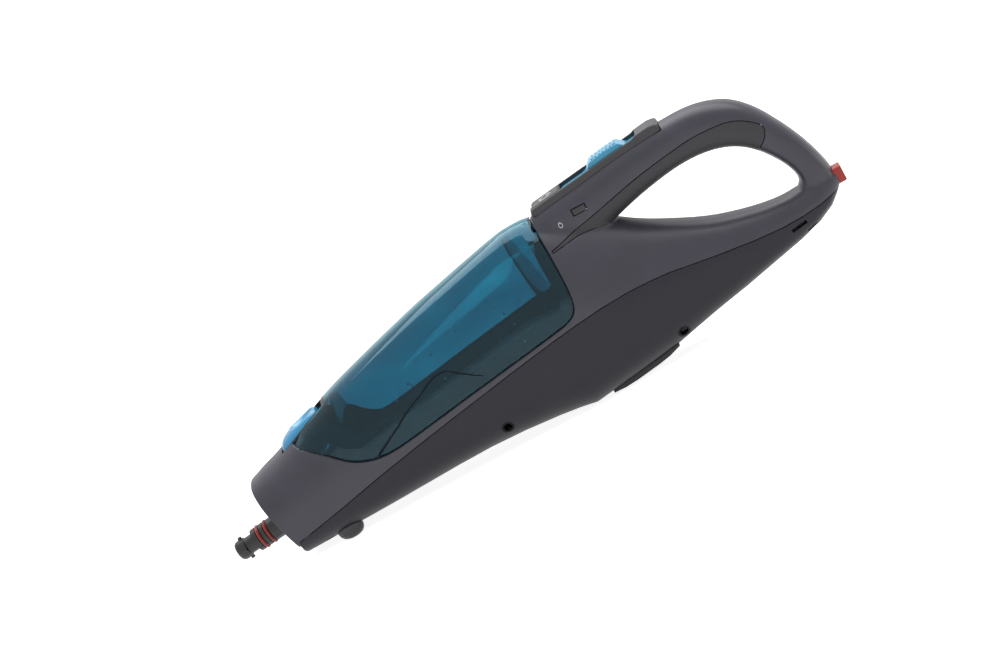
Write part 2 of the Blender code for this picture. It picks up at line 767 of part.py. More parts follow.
def console_clips(outer, tools):
    """The snap tongues that fill the windows, flush with the handle's side."""
    for name, side in (("left", -1), ("right", 1)):
        clip = copied(outer, "console_clip_" + name, "console_grey")
        keep(clip, clip_tool("clip_keep_" + name, CLIP_MARGIN))
        skin = handle_skin_y()
        inner = skin - WALL - CLIP_THICKNESS
        low, high = sorted((side * inner, side * HALF_WIDTH))
        x, z = x_at(CLIP_PLACE_SHARES[0]), z_at(CLIP_PLACE_SHARES[1])
        keep(clip, box("clip_slab_" + name, (x - CLIP_LENGTH, low, z - CLIP_LENGTH), (x + CLIP_LENGTH, high, z + CLIP_LENGTH)))


def handle_skin_y():
    """Half width of the handle front."""
    return HANDLE_SHARES[2][4] * HALF_WIDTH


def rear_bore(name):
    """The hole in the rear of the spine for the red button."""
    return button_prism(name, REAR_BUTTON_HEIGHT / 2 + FIT, REAR_BUTTON_WIDTH / 2 + FIT, x_at(END_SHARE) - REAR_BUTTON_PROUD - WALL - OVERRUN / 2, OVERRUN)


def rear_spring_room(name):
    """The round room in the rear wall that the red button's spring works in."""
    z = z_at(REAR_BUTTON_Z_SHARE)
    start = x_at(END_SHARE) - REAR_BUTTON_TALL
    reach = SPRING_RADIUS + SPRING_WIRE + FIT * 3
    return rod(name, (start - REAR_BUTTON_TALL * 0.45, 0, z), (start + REAR_BUTTON_TALL * 0.4, 0, z), reach, segments=SMALL_ROUND)


# Nose

BULKHEAD_X_SHARE = -0.385
BULKHEAD_THICKNESS = 0.0025
SPIGOT_LENGTH = 0.0600
SPIGOT_DEGREES = 6.8
SPIGOT_TIP_Z = 0.0226
SPIGOT_COLLAR_RADIUS = 0.0082
SPIGOT_NECK_RADIUS = 0.0060
SPIGOT_TIP_RADIUS = 0.0071
SPIGOT_FACE_SHARE = 0.62
SPIGOT_BORE_RADIUS = 0.0020
SPIGOT_TIP_LENGTH = 0.0085
SPIGOT_NECK_LENGTH = 0.0065
SPIGOT_FLANGE_LENGTH = 0.0025
SPIGOT_TAIL_RADIUS = 0.0045
SPIGOT_TAIL_LENGTH = 0.0060
LUG_REACH = 0.0014
LUG_WIDTH = 0.0030
LUG_COUNT = 4
RING_THICKNESS = 0.0013
RING_PROUD = 0.0007
RING_PITCH = 0.0063
RING_SEAT = 0.0004
RING_STEPS = 20


def spigot_axis():
    """Direction from the spigot's tip into the body."""
    angle = math.radians(SPIGOT_DEGREES)
    return Vector((math.cos(angle), 0, math.sin(angle)))


def spigot_tip():
    """Middle of the spigot's tip face, so that its lower rim ends the object."""
    lean = math.sin(math.radians(SPIGOT_DEGREES)) * SPIGOT_TIP_RADIUS * SPIGOT_FACE_SHARE
    return Vector((lean - x_at(END_SHARE), 0, SPIGOT_TIP_Z))


def spigot_point(along):
    """A point on the spigot's axis."""
    return spigot_tip() + spigot_axis() * along


def spigot_profile():
    """Radius and distance from the tip, round the wall of the spigot."""
    neck = SPIGOT_TIP_LENGTH
    flange = neck + SPIGOT_NECK_LENGTH
    collar = flange + SPIGOT_FLANGE_LENGTH
    groove = ring_path() - RING_THICKNESS - FIT
    seat = RING_THICKNESS + RING_SEAT
    tail = SPIGOT_LENGTH - SPIGOT_TAIL_LENGTH
    bore, tip = SPIGOT_BORE_RADIUS, SPIGOT_TIP_RADIUS
    face = tip * SPIGOT_FACE_SHARE
    points = [(bore, 0), (face, 0), (tip * 0.84, neck * 0.08), (tip * 0.96, neck * 0.24), (tip, neck * 0.45)]
    points += [(tip, neck * 0.92), (SPIGOT_NECK_RADIUS, neck), (SPIGOT_NECK_RADIUS, flange)]
    points += [(SPIGOT_COLLAR_RADIUS, flange), (SPIGOT_COLLAR_RADIUS, collar)]
    for ring in range(2):
        middle = ring_place(ring)
        points += [
            (SPIGOT_COLLAR_RADIUS, middle - seat), (groove, middle - seat),
            (groove, middle + seat), (SPIGOT_COLLAR_RADIUS, middle + seat),
        ]
    points += [(SPIGOT_COLLAR_RADIUS, tail), (SPIGOT_TAIL_RADIUS, tail), (SPIGOT_TAIL_RADIUS, SPIGOT_LENGTH)]
    points += [(bore, SPIGOT_LENGTH)]
    return points


def ring_path():
    """Radius of the circle that an O-ring's middle runs along."""
    return SPIGOT_COLLAR_RADIUS + RING_PROUD - RING_THICKNESS


def ring_place(number):
    """Distance of an O-ring from the tip."""
    first = SPIGOT_TIP_LENGTH + SPIGOT_NECK_LENGTH + SPIGOT_FLANGE_LENGTH + RING_THICKNESS + RING_SEAT * 3
    return first + number * RING_PITCH


def spigot():
    """The steam spigot with its bayonet lugs, and its two O-rings."""
    axis = spigot_axis()
    body = turned("steam_spigot", spigot_profile(), spigot_tip(), axis, "nozzle_black", RING_STEPS)
    middle = spigot_point(SPIGOT_TIP_LENGTH * 0.75)
    for number in range(LUG_COUNT):
        turn = Matrix.Rotation(math.tau * number / LUG_COUNT, 3, axis)
        out = turn @ Vector((-axis.z, 0, axis.x))
        join(body, rod("lug", middle + out * SPIGOT_NECK_RADIUS, middle + out * (SPIGOT_TIP_RADIUS + LUG_REACH), LUG_WIDTH / 2, segments=10))
    for number, name in enumerate(("front", "rear")):
        o_ring("o_ring_" + name, spigot_point(ring_place(number)), axis)


def o_ring(name, middle, axis):
    """A round seal in a groove of the spigot."""
    radius = RING_THICKNESS
    path = ring_path()
    steps = 6
    profile = [
        (path + radius * math.cos(-math.tau * i / steps), radius * math.sin(-math.tau * i / steps)) for i in range(steps)
    ]
    turned(name, profile, middle, axis, "seal_red", RING_STEPS)


def nose_bulkhead(hollow_plain):
    """The wall across the nose that carries the spigot."""
    x = x_at(BULKHEAD_X_SHARE)
    plate = copied(hollow_plain, "nose_bulkhead", "nozzle_black")
    long = HALF_WIDTH + OVERRUN
    keep(plate, box("bulkhead_slab", (x, -long, 0), (x + BULKHEAD_THICKNESS, long, HEIGHT)))
    along = (x - spigot_tip().x) / spigot_axis().x
    start, end = spigot_point(along - OVERRUN), spigot_point(along + OVERRUN)
    cut(plate, rod("spigot_hole", start, end, SPIGOT_COLLAR_RADIUS + FIT, segments=ROUND))


# Feet

FOOT_RADIUS = 0.0095
FOOT_WIDTH_SHARE = 0.75
FOOT_FLAT_RADIUS = 0.0046
FOOT_X_SHARE = -0.3333
FOOT_Y_SHARE = 0.46
FOOT_TALL = 0.0100
SKID_START_SHARE = 0.080
SKID_END_SHARE = 0.190
SKID_HALF_WIDTH = 0.0140
SKID_PROUD = 0.0024
SKID_TALL = 0.0080


def feet(skin):
    """Two domed feet under the nose."""
    for name, side in (("left", -1), ("right", 1)):
        profile = [
            (0, FOOT_TALL), (FOOT_RADIUS, FOOT_TALL), (FOOT_RADIUS, FOOT_TALL * 0.55), (FOOT_RADIUS * 0.93, FOOT_TALL * 0.32),
            (FOOT_RADIUS * 0.76, FOOT_TALL * 0.12), (FOOT_FLAT_RADIUS, 0), (0, 0),
        ]
        foot = turned("foot_form", profile[::-1], (0, 0, 0), (0, 0, 1), steps=20)
        middle = Vector((x_at(FOOT_X_SHARE), side * FOOT_Y_SHARE * HALF_WIDTH, 0))
        foot.data.transform(Matrix.Translation(middle) @ Matrix.Diagonal((1, FOOT_WIDTH_SHARE, 1, 1)))
        foot = copied(foot, "front_foot_" + name, "console_grey")
        cut(foot, skin)


def belly_skid(skin):
    """The dark wear strip under the belly."""
    start, end = x_at(SKID_START_SHARE), x_at(SKID_END_SHARE)
    count = 6
    run = [start + (end - start) * i / count for i in range(count + 1)]
    ease = (0.2, 0.8, 1.0, 1.0, 1.0, 0.8, 0.1)
    low = [Vector((x, hull_value(LOW, x) - SKID_PROUD * share)) for x, share in zip(run, ease)]
    high = [Vector((x, hull_value(LOW, x) + SKID_TALL)) for x in reversed(run)]
    strip = side_prism("skid_form", low + high, SKID_HALF_WIDTH)
    strip = copied(strip, "belly_skid", "grip_rubber")
    cut(strip, skin)


# Tank

TANK_WALL = 0.0022
TANK_FLOOR = 0.0022
CRADLE_THICKNESS = 0.0020
CRADLE_DROP = 0.0005
BAFFLE_THICKNESS = 0.0016
FRONT_BAFFLE_SHARES = ((-0.2708, 0.250), (-0.2667, 0.700))
REAR_BAFFLE_SHARES = ((0.0640, 0.440), (0.0440, 0.930))
BAFFLE_HOLE_RADIUS = 0.0060
PORT_X_SHARE = -0.222
VALVE_RADIUS = 0.0042
VALVE_BELOW = 0.0050
VALVE_ABOVE = 0.0080
VALVE_FLANGE_RADIUS = 0.0062
VALVE_SEAT = 0.0021
PORT_PLAY = 0.0014
PORT_WALL = 0.0018
PORT_DEPTH = 0.0060
FILLER_X_SHARE = 0.012
FILLER_RADIUS = 0.0120
FILLER_TALL = 0.0070
FILLER_RIM = 0.0030


def tank_line_z(x, offset=0.0):
    """Height of the tank's lower edge at x."""
    line = [point for point in shifted(TANK_LINE, offset) if point.x < x_at(0.09)]
    for near, far in zip(line, line[1:]):
        if near.x <= x <= far.x:
            return near.y + (far.y - near.y) * (x - near.x) / (far.x - near.x)
    return line[-1].y


def tank_run():
    """The tank line from its front end to its rear lower corner."""
    return [point for point in TANK_LINE if point.y < z_at(TANK_SHARES[14][1]) or point.x < 0]


def strip_region(line, near, far):
    """Side outline of a band that follows a line, between two offsets from it."""
    return shifted(line, near) + list(reversed(shifted(line, far)))


def tank(tools):
    """The see-through shell, its floor, two baffles, the valve and the filler cap."""
    wide = HALF_WIDTH + OVERRUN
    gap = SEAM_GAP / 2
    shell = keep(hull("tank_form", 0, 3, 17), side_prism("tank_keep", tank_region(gap), wide))
    room = hull("tank_room", TANK_WALL, 2, 17)
    rear = [point for point in shifted(TANK_LINE, gap + TANK_WALL) if point.x > x_at(0.085) and point.y > z_at(0.40)]
    front = x_at(-0.44)
    room_outline = [Vector((front, -OVERRUN)), Vector((rear[0].x, -OVERRUN))] + rear + [Vector((rear[-1].x, HEIGHT + OVERRUN)), Vector((front, HEIGHT + OVERRUN))]
    keep(room, side_prism("tank_room_keep", room_outline, wide))
    cut(shell, room)
    shell = baked(shell, "tank_shell_form")
    shell = copied(shell, "tank_shell", "tank_teal")
    cut(shell, latch_block("latch_block_wide", FIT * 1.5))
    inner = hull("tank_inside", TANK_WALL + FIT, 2, 17)
    run = [point for point in TANK_LINE if point.x < x_at(0.088) and point.y < z_at(0.60)]
    floor = side_prism("tank_floor_form", strip_region(run, gap, gap + TANK_FLOOR), wide)
    base = copied(inner, "tank_base", "tank_teal")
    keep(base, floor)
    keep(base, box("base_limit", (x_at(-0.45), -wide, 0), (rear[0].x - FIT - FIT, wide, HEIGHT)))
    cut(base, latch_block("latch_block_base", FIT * 1.5))
    port = port_point()
    cut(base, rod("valve_hole", port - lift_axis() * OVERRUN, port + lift_axis() * OVERRUN, VALVE_RADIUS + FIT))
    filler = filler_point()
    cut(base, rod("filler_hole", filler - lift_axis() * OVERRUN, filler + lift_axis() * OVERRUN, FILLER_RADIUS - FILLER_RIM, segments=ROUND))
    baffle("tank_baffle_front", FRONT_BAFFLE_SHARES, inner, gap + TANK_FLOOR + FIT)
    baffle("tank_baffle_rear", REAR_BAFFLE_SHARES, inner, gap + TANK_FLOOR + FIT)
    tank_valve(port)
    filler_cap(filler)


def lift_axis():
    """The way the tank lifts out: square to the console."""
    angle = math.radians(LIFT_DEGREES)
    return Vector((-math.sin(angle), 0, math.cos(angle)))


LIFT_DEGREES = 8.5


def port_point():
    """Where the valve passes the tank's lower face."""
    x = x_at(PORT_X_SHARE)
    return Vector((x, 0, tank_line_z(x, SEAM_GAP / 2)))


def filler_point():
    """Middle of the filler opening on the tank's lower face."""
    x = x_at(FILLER_X_SHARE)
    return Vector((x, 0, tank_line_z(x, SEAM_GAP / 2)))


def baffle(name, shares, inner, offset):
    """A thin wall across the tank, leaning as its table says, with a hole near its foot."""
    low, high = places(shares)
    low.y = tank_line_z(low.x, offset)
    step = Vector((BAFFLE_THICKNESS, 0))
    wide = HALF_WIDTH + OVERRUN
    foot = [low, Vector((low.x + BAFFLE_THICKNESS, tank_line_z(low.x + BAFFLE_THICKNESS, offset)))]
    slab = side_prism(name + "_slab", foot + [high + step, high], wide)
    wall = copied(inner, name, "tank_teal")
    keep(wall, slab)
    middle = Vector((low.x, 0, low.y + BAFFLE_HOLE_RADIUS * 2))
    reach = Vector((OVERRUN, 0, 0))
    cut(wall, rod(name + "_hole", middle - reach, middle + reach, BAFFLE_HOLE_RADIUS))


def tank_valve(port):
    """The spring valve in the tank's floor: a stem below and a strainer above."""
    top = TANK_FLOOR + VALVE_SEAT
    profile = [
        (0, -VALVE_BELOW), (VALVE_RADIUS * 0.7, -VALVE_BELOW), (VALVE_RADIUS, -VALVE_BELOW * 0.8), (VALVE_RADIUS, top),
        (VALVE_FLANGE_RADIUS, top), (VALVE_FLANGE_RADIUS, top + FIT * 4), (VALVE_RADIUS, top + FIT * 4 + TINY),
        (VALVE_RADIUS * 0.9, top + VALVE_ABOVE), (0, top + VALVE_ABOVE),
    ]
    turned("tank_valve", profile, port, lift_axis(), "inner_plastic", SMALL_ROUND)


def filler_cap(filler):
    """The turn cap that closes the filler opening from below."""
    neck = FILLER_RADIUS - FILLER_RIM - FIT
    low = -FIT - FILLER_TALL * 0.45
    cap = turned(
        "filler_form",
        [(0, low), (FILLER_RADIUS * 0.94, low), (FILLER_RADIUS, low * 0.8), (FILLER_RADIUS, -FIT * 1.5), (neck, -FIT * 1.5), (neck, FILLER_TALL * 0.55), (0, FILLER_TALL * 0.55)],
        filler, lift_axis(), None, RING_STEPS,
    )
    cap = copied(cap, "filler_cap", "nozzle_black")
    bar = FILLER_RADIUS * 0.62
    slot = FILLER_RADIUS * 0.1
    deep = filler + lift_axis() * low
    across = FILLER_TALL * 0.15
    for side in (-1, 1):
        edge = side * FILLER_RADIUS * 0.3
        cut(cap, box("cap_grip", (deep.x - bar, edge - slot, deep.z - across * 3), (deep.x + bar, edge + slot, deep.z + across)))


def cradle(hollow_plain):
    """The bay's floor and rear wall, under and behind the tank, with the port that feeds the pump."""
    line = shifted(TANK_LINE, -SEAM_GAP / 2 - CRADLE_DROP)
    tray = keep(
        copied(hollow_plain, "tank_cradle", "inner_plastic"),
        side_prism("cradle_strip", line + list(reversed(shifted(line, -CRADLE_THICKNESS))), HALF_WIDTH + OVERRUN),
    )
    cut(tray, side_prism("cradle_latch_room", latch_room_outline(), LATCH_BLOCK_HALF + LATCH_MARGIN + FIT))
    port = port_point()
    cut(tray, rod("port_hole", port - lift_axis() * OVERRUN, port + lift_axis() * OVERRUN, VALVE_RADIUS + PORT_PLAY))
    filler = filler_point()
    hole = FILLER_RADIUS + PORT_PLAY
    cut(tray, rod("cap_hole", filler - lift_axis() * OVERRUN, filler + lift_axis() * OVERRUN, hole, segments=ROUND))
    tank_port(port)


def tank_port(port):
    """The cup under the bay floor that the tank's valve stands in, and its seal."""
    top = -SEAM_GAP - CRADLE_DROP - CRADLE_THICKNESS - FIT * 4
    inner = VALVE_RADIUS + PORT_PLAY
    outer = inner + PORT_WALL
    low = top - PORT_DEPTH
    cup = turned(
        "port_form",
        [(0, low), (outer, low), (outer, top - PORT_WALL), (outer + PORT_WALL, top - PORT_WALL), (outer + PORT_WALL, top), (inner, top), (inner, low + PORT_WALL), (0, low + PORT_WALL)],
        port, lift_axis(), None, SMALL_ROUND,
    )
    cup = copied(cup, "tank_port", "inner_plastic")
    mouth = port + lift_axis() * (low + PORT_WALL + HOSE_RADIUS * 0.6)
    join(cup, rod("port_nipple", mouth + Vector((0, inner + PORT_WALL / 2, 0)), mouth + Vector((0, outer + PORT_NIPPLE, 0)), HOSE_RADIUS * 0.6))
    seal_low = low + PORT_WALL + FIT
    band = VALVE_RADIUS * 0.5
    turned(
        "port_seal", [(band, seal_low), (inner - FIT, seal_low), (inner - FIT, seal_low + FIT * 4), (band, seal_low + FIT * 4)],
        port, lift_axis(), "seal_black", SMALL_ROUND,
    )


PORT_NIPPLE = 0.0060


# Latch

LATCH_PIVOT_SHARES = (-0.3510, 0.4920)
LATCH_DEGREES = 24.5
LATCH_LENGTH = 0.0295
LATCH_THICKNESS = 0.0110
LATCH_HALF_WIDTH = 0.0103
LATCH_MARGIN = 0.0006
LATCH_BLOCK_HALF = 0.0122
LATCH_PIN_RADIUS = 0.0015
LATCH_LUG_HALF = 0.0030
LATCH_LUG_RADIUS = 0.0032
LATCH_FLOOR = 0.0024
LATCH_DISH_RADIUS = 0.0300
# Along the lever in LATCH_LENGTH, low and high edges in LATCH_THICKNESS, half width in LATCH_HALF_WIDTH
LATCH_SHARES = (
    (-0.186, -0.08, 0.08, 0.80), (-0.170, -0.22, 0.22, 0.86), (-0.120, -0.38, 0.38, 0.92), (0.000, -0.50, 0.49, 0.97),
    (0.200, -0.50, 0.53, 1.00), (0.450, -0.48, 0.50, 1.00), (0.650, -0.43, 0.43, 0.97), (0.820, -0.37, 0.33, 0.86),
    (0.920, -0.30, 0.22, 0.68), (0.980, -0.20, 0.08, 0.45),
)
LATCH_POWER = 3.0
LATCH_POINTS = 16


def latch_point(along, up, y=0.0):
    """A point from its distance along the lever and above its middle line, from the pivot."""
    angle = math.radians(LATCH_DEGREES)
    pivot = Vector((x_at(LATCH_PIVOT_SHARES[0]), y, z_at(LATCH_PIVOT_SHARES[1])))
    run = Vector((math.cos(angle), 0, math.sin(angle)))
    rise = Vector((-math.sin(angle), 0, math.cos(angle)))
    return pivot + run * along + rise * up


def latch_prism(name, outline, half, finish=None):
    """An outline of (along, up) points in the lever's frame, as wide as half on each side."""
    points = [latch_point(along, up, -half) for along, up in outline]
    return prism(name, points, Vector((0, half + half, 0)), finish)


def latch_under():
    """The lever's underside, as (along, up) points, where its bracket follows it."""
    return [(row[0] * LATCH_LENGTH, row[1] * LATCH_THICKNESS) for row in LATCH_SHARES[4:8]]


def latch_block(name, grow):
    """The block that the bracket fills in the tank's front, grown by a clearance."""
    outline = [(along, up) for along, up in bracket_floor(LATCH_FLOOR + grow)]
    front = -grow
    high = LATCH_THICKNESS * 2
    low = outline[0][1]
    points = [(front, high), (front, low)] + outline + [(outline[-1][0], high)]
    return latch_prism(name, points, LATCH_BLOCK_HALF + grow)


def latch_rear():
    """Where the finger recess behind the lever ends."""
    return LATCH_LENGTH * 1.22


def bracket_floor(thickness):
    """The bracket's lower face: under the lever, then up behind it."""
    deep = -LATCH_THICKNESS * 0.56 - thickness
    return [(LATCH_LENGTH * 0.98, deep), (latch_rear() + thickness, -LATCH_THICKNESS * 0.15)]


def latch_room_outline():
    """Side outline of the room that the lever's front end takes in the nose."""
    return [
        (p.x, p.z) for p in (
            latch_point(-LATCH_THICKNESS * 0.62, -LATCH_THICKNESS * 0.62), latch_point(LATCH_LENGTH * 0.6, -LATCH_THICKNESS * 1.1),
            latch_point(LATCH_LENGTH * 0.6, LATCH_THICKNESS * 2), latch_point(-LATCH_THICKNESS * 0.62, LATCH_THICKNESS * 2),
        )
    ]


def latch_notch(name):
    """The round notch in the nose for the lever's front end."""
    radius = LATCH_THICKNESS / 2 + LATCH_MARGIN * 2
    steps = 14
    turn = [math.radians(90) + math.pi * i / steps for i in range(steps + 1)]
    outline = [(radius * math.cos(angle), radius * math.sin(angle)) for angle in turn]
    reach = LATCH_LENGTH * 0.7
    outline += [(reach, -radius), (reach, OVERRUN * 2), (0, OVERRUN * 2)]
    return latch_prism(name, outline, LATCH_HALF_WIDTH + LATCH_MARGIN * 2)


def latch():
    """The spoon lever, its bracket, its pin and its spring."""
    rings = []
    for along, low, high, half in LATCH_SHARES:
        middle, reach = (low + high) / 2 * LATCH_THICKNESS, (high - low) / 2 * LATCH_THICKNESS
        ring = []
        for i in range(LATCH_POINTS):
            angle = math.tau * (i + 0.5) / LATCH_POINTS
            side = math.copysign(abs(math.cos(angle)) ** (2 / LATCH_POWER), math.cos(angle))
            up = math.copysign(abs(math.sin(angle)) ** (2 / LATCH_POWER), math.sin(angle))
            ring.append(latch_point(along * LATCH_LENGTH, middle + up * reach, side * half * LATCH_HALF_WIDTH))
        rings.append(ring)
    lever = loft("lever_form", rings)
    lever = copied(lever, "tank_latch", "latch_blue")
    lug_room = LATCH_LUG_RADIUS + FIT * 2
    slot = [(-lug_room, -LATCH_THICKNESS), (LATCH_LENGTH * 0.42, -LATCH_THICKNESS), (LATCH_LENGTH * 0.42, -LATCH_THICKNESS * 0.1), (lug_room, lug_room), (-lug_room, lug_room)]
    cut(lever, latch_prism("lug_slot", slot, LATCH_LUG_HALF + FIT))
    pin_reach = LATCH_HALF_WIDTH * 0.86
    cut(lever, rod("pin_hole", latch_point(0, 0, -pin_reach - FIT), latch_point(0, 0, pin_reach + FIT), LATCH_PIN_RADIUS + FIT))
    cut(lever, rod("spring_pocket", latch_point(LATCH_LENGTH * 0.62, -LATCH_THICKNESS), latch_point(LATCH_LENGTH * 0.62, -LATCH_THICKNESS * 0.25), SPRING_RADIUS + SPRING_WIRE + FIT * 2))
    rod("latch_pin", latch_point(0, 0, -pin_reach), latch_point(0, 0, pin_reach), LATCH_PIN_RADIUS, "steel", 12)
    bracket()
    low = latch_point(LATCH_LENGTH * 0.62, -LATCH_THICKNESS * 0.56 + SPRING_WIRE + FIT)
    high = latch_point(LATCH_LENGTH * 0.62, -LATCH_THICKNESS * 0.25 - SPRING_WIRE - FIT)
    spring("latch_spring", low, high, SPRING_RADIUS, SPRING_WIRE, 2)


def bracket():
    """The dark pocket round the lever, with the lug that holds its pin."""
    block = keep(hull("bracket_form", 0, 3, 9), latch_block("bracket_block", 0.0))
    keep(block, side_prism("bracket_keep", tank_region(SEAM_GAP / 2), HALF_WIDTH + OVERRUN))
    deep = -LATCH_THICKNESS * 0.56
    room = [
        (-OVERRUN, deep), (LATCH_LENGTH * 0.98, deep), (latch_rear(), -LATCH_THICKNESS * 0.1), (latch_rear(), OVERRUN * 3), (-OVERRUN, OVERRUN * 3),
    ]
    cut(block, latch_prism("bracket_room", room, LATCH_BLOCK_HALF - LATCH_WALL))
    pocket = copied(baked(block, "bracket_shell"), "latch_bracket", "nozzle_black")
    steps = 8
    radius = LATCH_LUG_RADIUS
    turn = [math.radians(60) + math.radians(210) * i / steps for i in range(steps + 1)]
    lug = [(radius * math.cos(angle), radius * math.sin(angle)) for angle in turn]
    foot = LATCH_LENGTH * 0.38
    lug += [(LATCH_LENGTH * 0.30, deep - LATCH_FLOOR * 0.5), (foot, deep - LATCH_FLOOR * 0.5), (foot, deep + FIT)]
    join(pocket, latch_prism("lug", lug, LATCH_LUG_HALF))
    wide = LATCH_HALF_WIDTH
    cut(pocket, rod("lug_hole", latch_point(0, 0, -wide), latch_point(0, 0, wide), LATCH_PIN_RADIUS + FIT))


LATCH_WALL = 0.0012
SPRING_RADIUS = 0.0022
SPRING_WIRE = 0.0003
SPRING_STEPS = 8


def spring(name, low, high, radius, wire, turns):
    """A coil spring between two points."""
    low, high = Vector(low), Vector(high)
    along = high - low
    side = Vector((0, 1, 0))
    other = along.normalized().cross(side)
    steps = turns * SPRING_STEPS
    points = []
    for i in range(steps + 1):
        angle = math.tau * i / SPRING_STEPS
        points.append(low + along * (i / steps) + side * (radius * math.cos(angle)) + other * (radius * math.sin(angle)))
    return tube(name, points, wire, "steel", 1)


# Console

BUTTON_START = 0.0016
BUTTON_LENGTH = 0.0214
BUTTON_WIDTH = 0.0160
BUTTON_RISE = 0.0010
BUTTON_TALL = 0.0042
BUTTON_TRAVEL = 0.0015
SLIDER_START = 0.0238
SLIDER_DECK = 0.0017
SLIDER_WIDTH = 0.0156
SLIDER_TRAVEL = 0.0060
THUMB_START = 0.0440
THUMB_LENGTH = 0.0300
THUMB_RISE = 0.0038
THUMB_RIDGES = 7
RIDGE_RISE = 0.0006
RIDGE_WIDTH = 0.0014
TAIL_LENGTH = 0.0100
STEM_LENGTH = 0.0060
STEM_WIDTH = 0.0040
SWITCH_LENGTH = 0.0180
SWITCH_WIDTH = 0.0064
SWITCH_TALL = 0.0090


def console(outer):
    """The strip in the top of the handle: rails, hood, button well and slider track."""
    half = CONSOLE_WIDTH / 2
    hood_start = CONSOLE_LENGTH - CONSOLE_HOOD_LENGTH
    rise = CONSOLE_RAIL_RISE
    outline = [
        (0, -CONSOLE_DEPTH + FIT), (CONSOLE_LENGTH, -CONSOLE_DEPTH + FIT), (CONSOLE_LENGTH, 0),
        (CONSOLE_LENGTH - CONSOLE_HOOD_LENGTH * 0.15, CONSOLE_HOOD_RISE * 0.6), (CONSOLE_LENGTH - CONSOLE_HOOD_LENGTH * 0.4, CONSOLE_HOOD_RISE),
        (hood_start, CONSOLE_HOOD_RISE), (hood_start - CONSOLE_HOOD_LENGTH * 0.2, rise), (BUTTON_START, rise), (0, 0),
    ]
    plain = rounded(console_prism("console_plain", outline, half), CONSOLE_RAIL_WIDTH * 0.3, 1)
    cover = copied(baked(plain, "console_form"), "console_cover", "console_grey")
    play = FIT
    cut(cover, console_box("button_well", BUTTON_START, BUTTON_START + BUTTON_LENGTH, -CONSOLE_DEPTH - OVERRUN, OVERRUN, BUTTON_WIDTH / 2 + play))
    track = SLIDER_WIDTH / 2 + play
    floor = rise - CONSOLE_DECK_DEPTH - SLIDER_DECK
    cut(cover, console_box("slider_track", SLIDER_START - play, CONSOLE_LENGTH - CONSOLE_RAIL_WIDTH, floor, floor + SLIDER_DECK + play * 2, track))
    cut(cover, console_box("slider_open", SLIDER_START - play, hood_start, floor, OVERRUN, track))
    stem = stem_start()
    cut(cover, console_box("stem_slot", stem - play, stem + STEM_LENGTH + SLIDER_TRAVEL + play, -CONSOLE_DEPTH - OVERRUN, 0, STEM_WIDTH / 2 + play))
    return floor


def stem_start():
    """Where the slider's stem starts, under the thumb rest."""
    return THUMB_START + THUMB_LENGTH * 0.3


def power_button():
    """The flat button at the front of the console, with a stem onto its switch."""
    half = BUTTON_WIDTH / 2
    top = CONSOLE_RAIL_RISE + BUTTON_RISE * 0.4
    start, end = BUTTON_START + FIT, BUTTON_START + BUTTON_LENGTH - FIT
    cap = rounded(console_box("button_form", start, end, top - BUTTON_TALL, top, half), BUTTON_RISE * 0.7, 2)
    cap = copied(baked(cap, "button_cap"), "power_button", "console_grey")
    middle = (start + end) / 2
    stem = rod("button_stem", console_point(middle, top - BUTTON_TALL + FIT), console_point(middle, power_switch_top() + BUTTON_TRAVEL + FIT), SPRING_RADIUS * 0.5, segments=10)
    join(cap, stem)
    low = console_point(middle, power_switch_top() + SPRING_WIRE + FIT)
    high = console_point(middle, top - BUTTON_TALL - SPRING_WIRE - FIT)
    spring("power_spring", low, high, SPRING_RADIUS, SPRING_WIRE, 3)
    switch("power_switch", middle, power_switch_top())


def power_switch_top():
    """Top of the switch under the power button."""
    return -CONSOLE_DEPTH - BUTTON_TALL * 0.4


def switch(name, middle, top):
    """A small switch block with its two pins."""
    half = SWITCH_LENGTH / 2
    body = copied(console_box(name + "_form", middle - half, middle + half, top - SWITCH_TALL, top, SWITCH_WIDTH / 2), name, "switch_black")
    for side in (-1, 1):
        foot = middle + side * half * 0.6
        join(body, console_box(name + "_tab", foot - FIT, foot + FIT * 2, top - SWITCH_TALL * 1.4, top - SWITCH_TALL * 0.8, SWITCH_WIDTH * 0.3))
    return body


